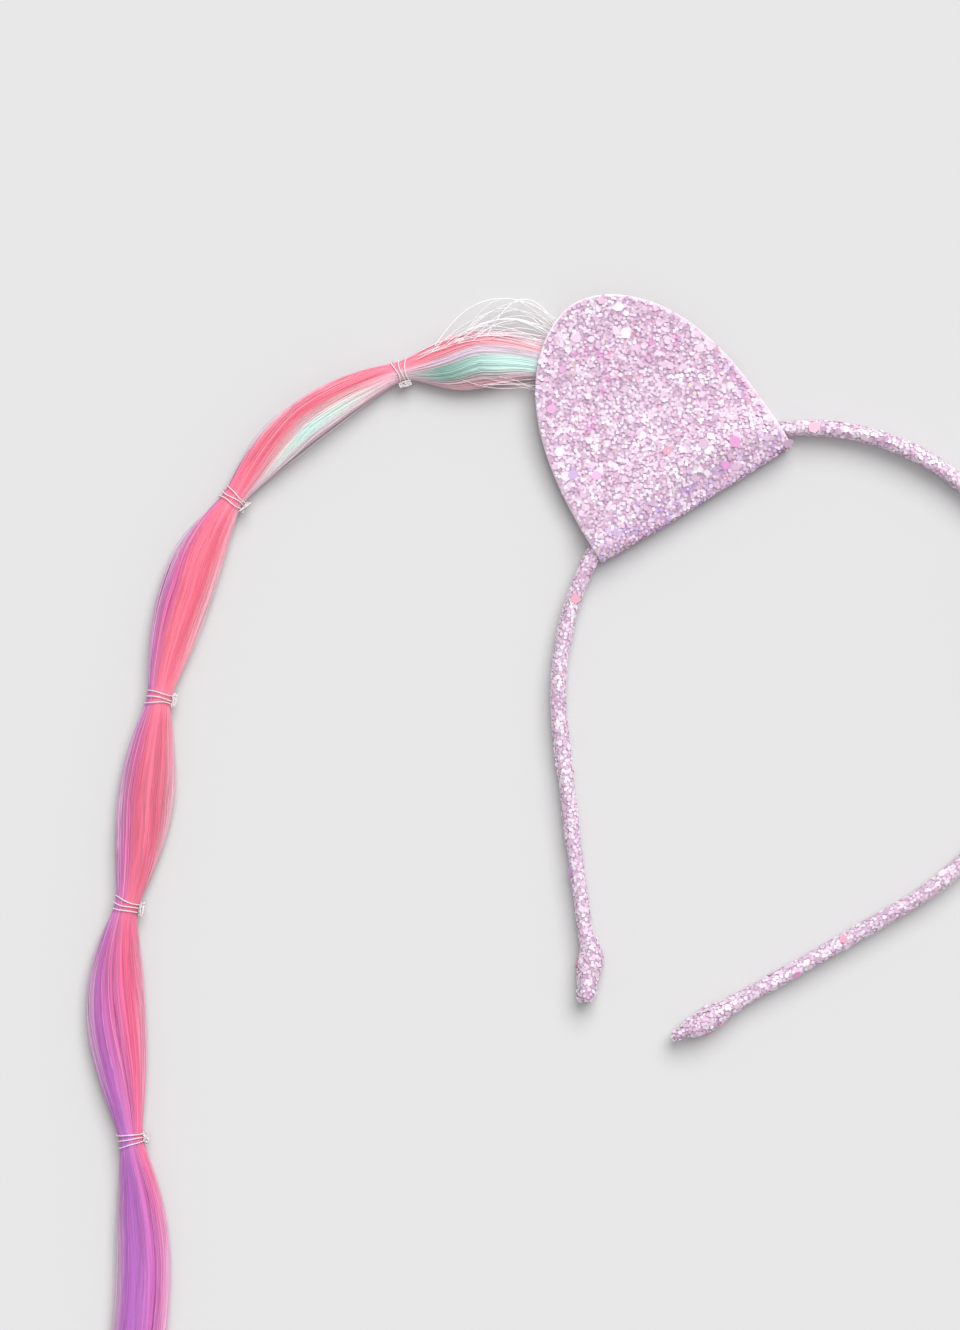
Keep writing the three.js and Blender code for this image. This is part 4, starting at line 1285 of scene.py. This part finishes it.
def make_clasp():
    """Felt pad under the flattened root, with a raised rim on each side of it"""
    half_width, half_height, level = (float(section(0.0, column)) for column in range(3))
    inside = half_width + FIT_GAP
    outside = inside + CLASP_WALL
    top = MIDDLE - FABRIC - FIT_GAP
    under = level - half_height - FIT_GAP
    corners = np.array([
        (-outside, under - CLASP_WALL), (outside, under - CLASP_WALL), (outside, top), (inside, top),
        (inside, under), (-inside, under), (-inside, top), (-outside, top),
    ])
    profile = []
    for corner, after in zip(corners, np.roll(corners, -1, 0)):
        pieces = max(2, int(np.linalg.norm(after - corner) / 0.7))
        profile.extend(corner + (after - corner) * piece / pieces for piece in range(pieces))
    profile = np.array(profile)
    start = HAIR_ROOT_HEIGHT - (CLASP_LENGTH - CLASP_OVERLAP)
    rings = []
    for along in start + CLASP_LENGTH * np.linspace(0, 1, 24):
        place = np.arange(len(profile))
        fuzz = 0.16 * (CLASP_GRAIN(place + 0.5, np.full(len(profile), along)) - 0.5)
        across = HAIR_ROOT_ASIDE - profile[:, 0] * (1 - fuzz * 0.3)
        rings.append(ear_points(across, along + fuzz, profile[:, 1] - np.abs(fuzz)))
    rings = np.array(rings)
    rows, columns = rings.shape[:2]
    ring = np.arange(columns)[None]
    faces = [grid_faces(rows, columns, wrap=True), ring[:, ::-1], ring + (rows - 1) * columns]
    build("hair_clasp_pad", rings, faces, felt_material(), ("hair_clasp",))


make_clasp()


# Floor and light
FLOOR_LEVEL = 0.62
FLOOR_REACH = 3.0
SKY_STRENGTH = 0.42


def plain(name, colour):
    material, _, shader = new_material(name)
    shader.inputs["Base Color"].default_value = colour
    shader.inputs["Roughness"].default_value = 0.9
    shader.inputs["Specular IOR Level"].default_value = 0.1
    return material


def make_floor():
    mesh = bpy.data.meshes.new("floor")
    corners = [(x * FLOOR_REACH, y * FLOOR_REACH, 0) for x, y in ((-1, -1), (1, -1), (1, 1), (-1, 1))]
    mesh.from_pydata(corners, [], [(0, 1, 2, 3)])
    mesh.materials.append(plain("floor_paper", grey(FLOOR_LEVEL)))
    floor = bpy.data.objects.new("floor", mesh)
    bpy.context.scene.collection.objects.link(floor)


def light(name, from_right, from_top, height, strength, spread):
    """Distant soft light, from a direction given in the photograph's own right and up"""
    turn = math.radians(VIEW_TURN)
    x = from_right * math.cos(turn) - from_top * math.sin(turn)
    y = from_right * math.sin(turn) + from_top * math.cos(turn)
    data = bpy.data.lights.new(name, "SUN")
    data.energy = strength
    data.angle = math.radians(spread)
    lamp = bpy.data.objects.new(name, data)
    lamp.rotation_mode = "QUATERNION"
    lamp.rotation_quaternion = Vector((x, y, height)).to_track_quat("Z", "Y")
    bpy.context.scene.collection.objects.link(lamp)


def make_light():
    world = bpy.data.worlds.new("studio")
    world.use_nodes = True
    background = world.node_tree.nodes["Background"]
    background.inputs["Color"].default_value = (1, 1, 1, 1)
    background.inputs["Strength"].default_value = SKY_STRENGTH
    bpy.context.scene.world = world
    light("key", 0.26, 0.66, 1.0, 2.75, 44)
    light("fill", 0.0, 0.05, 1.0, 0.51, 22)
    bpy.context.scene.view_settings.view_transform = "Standard"


make_floor()
make_light()
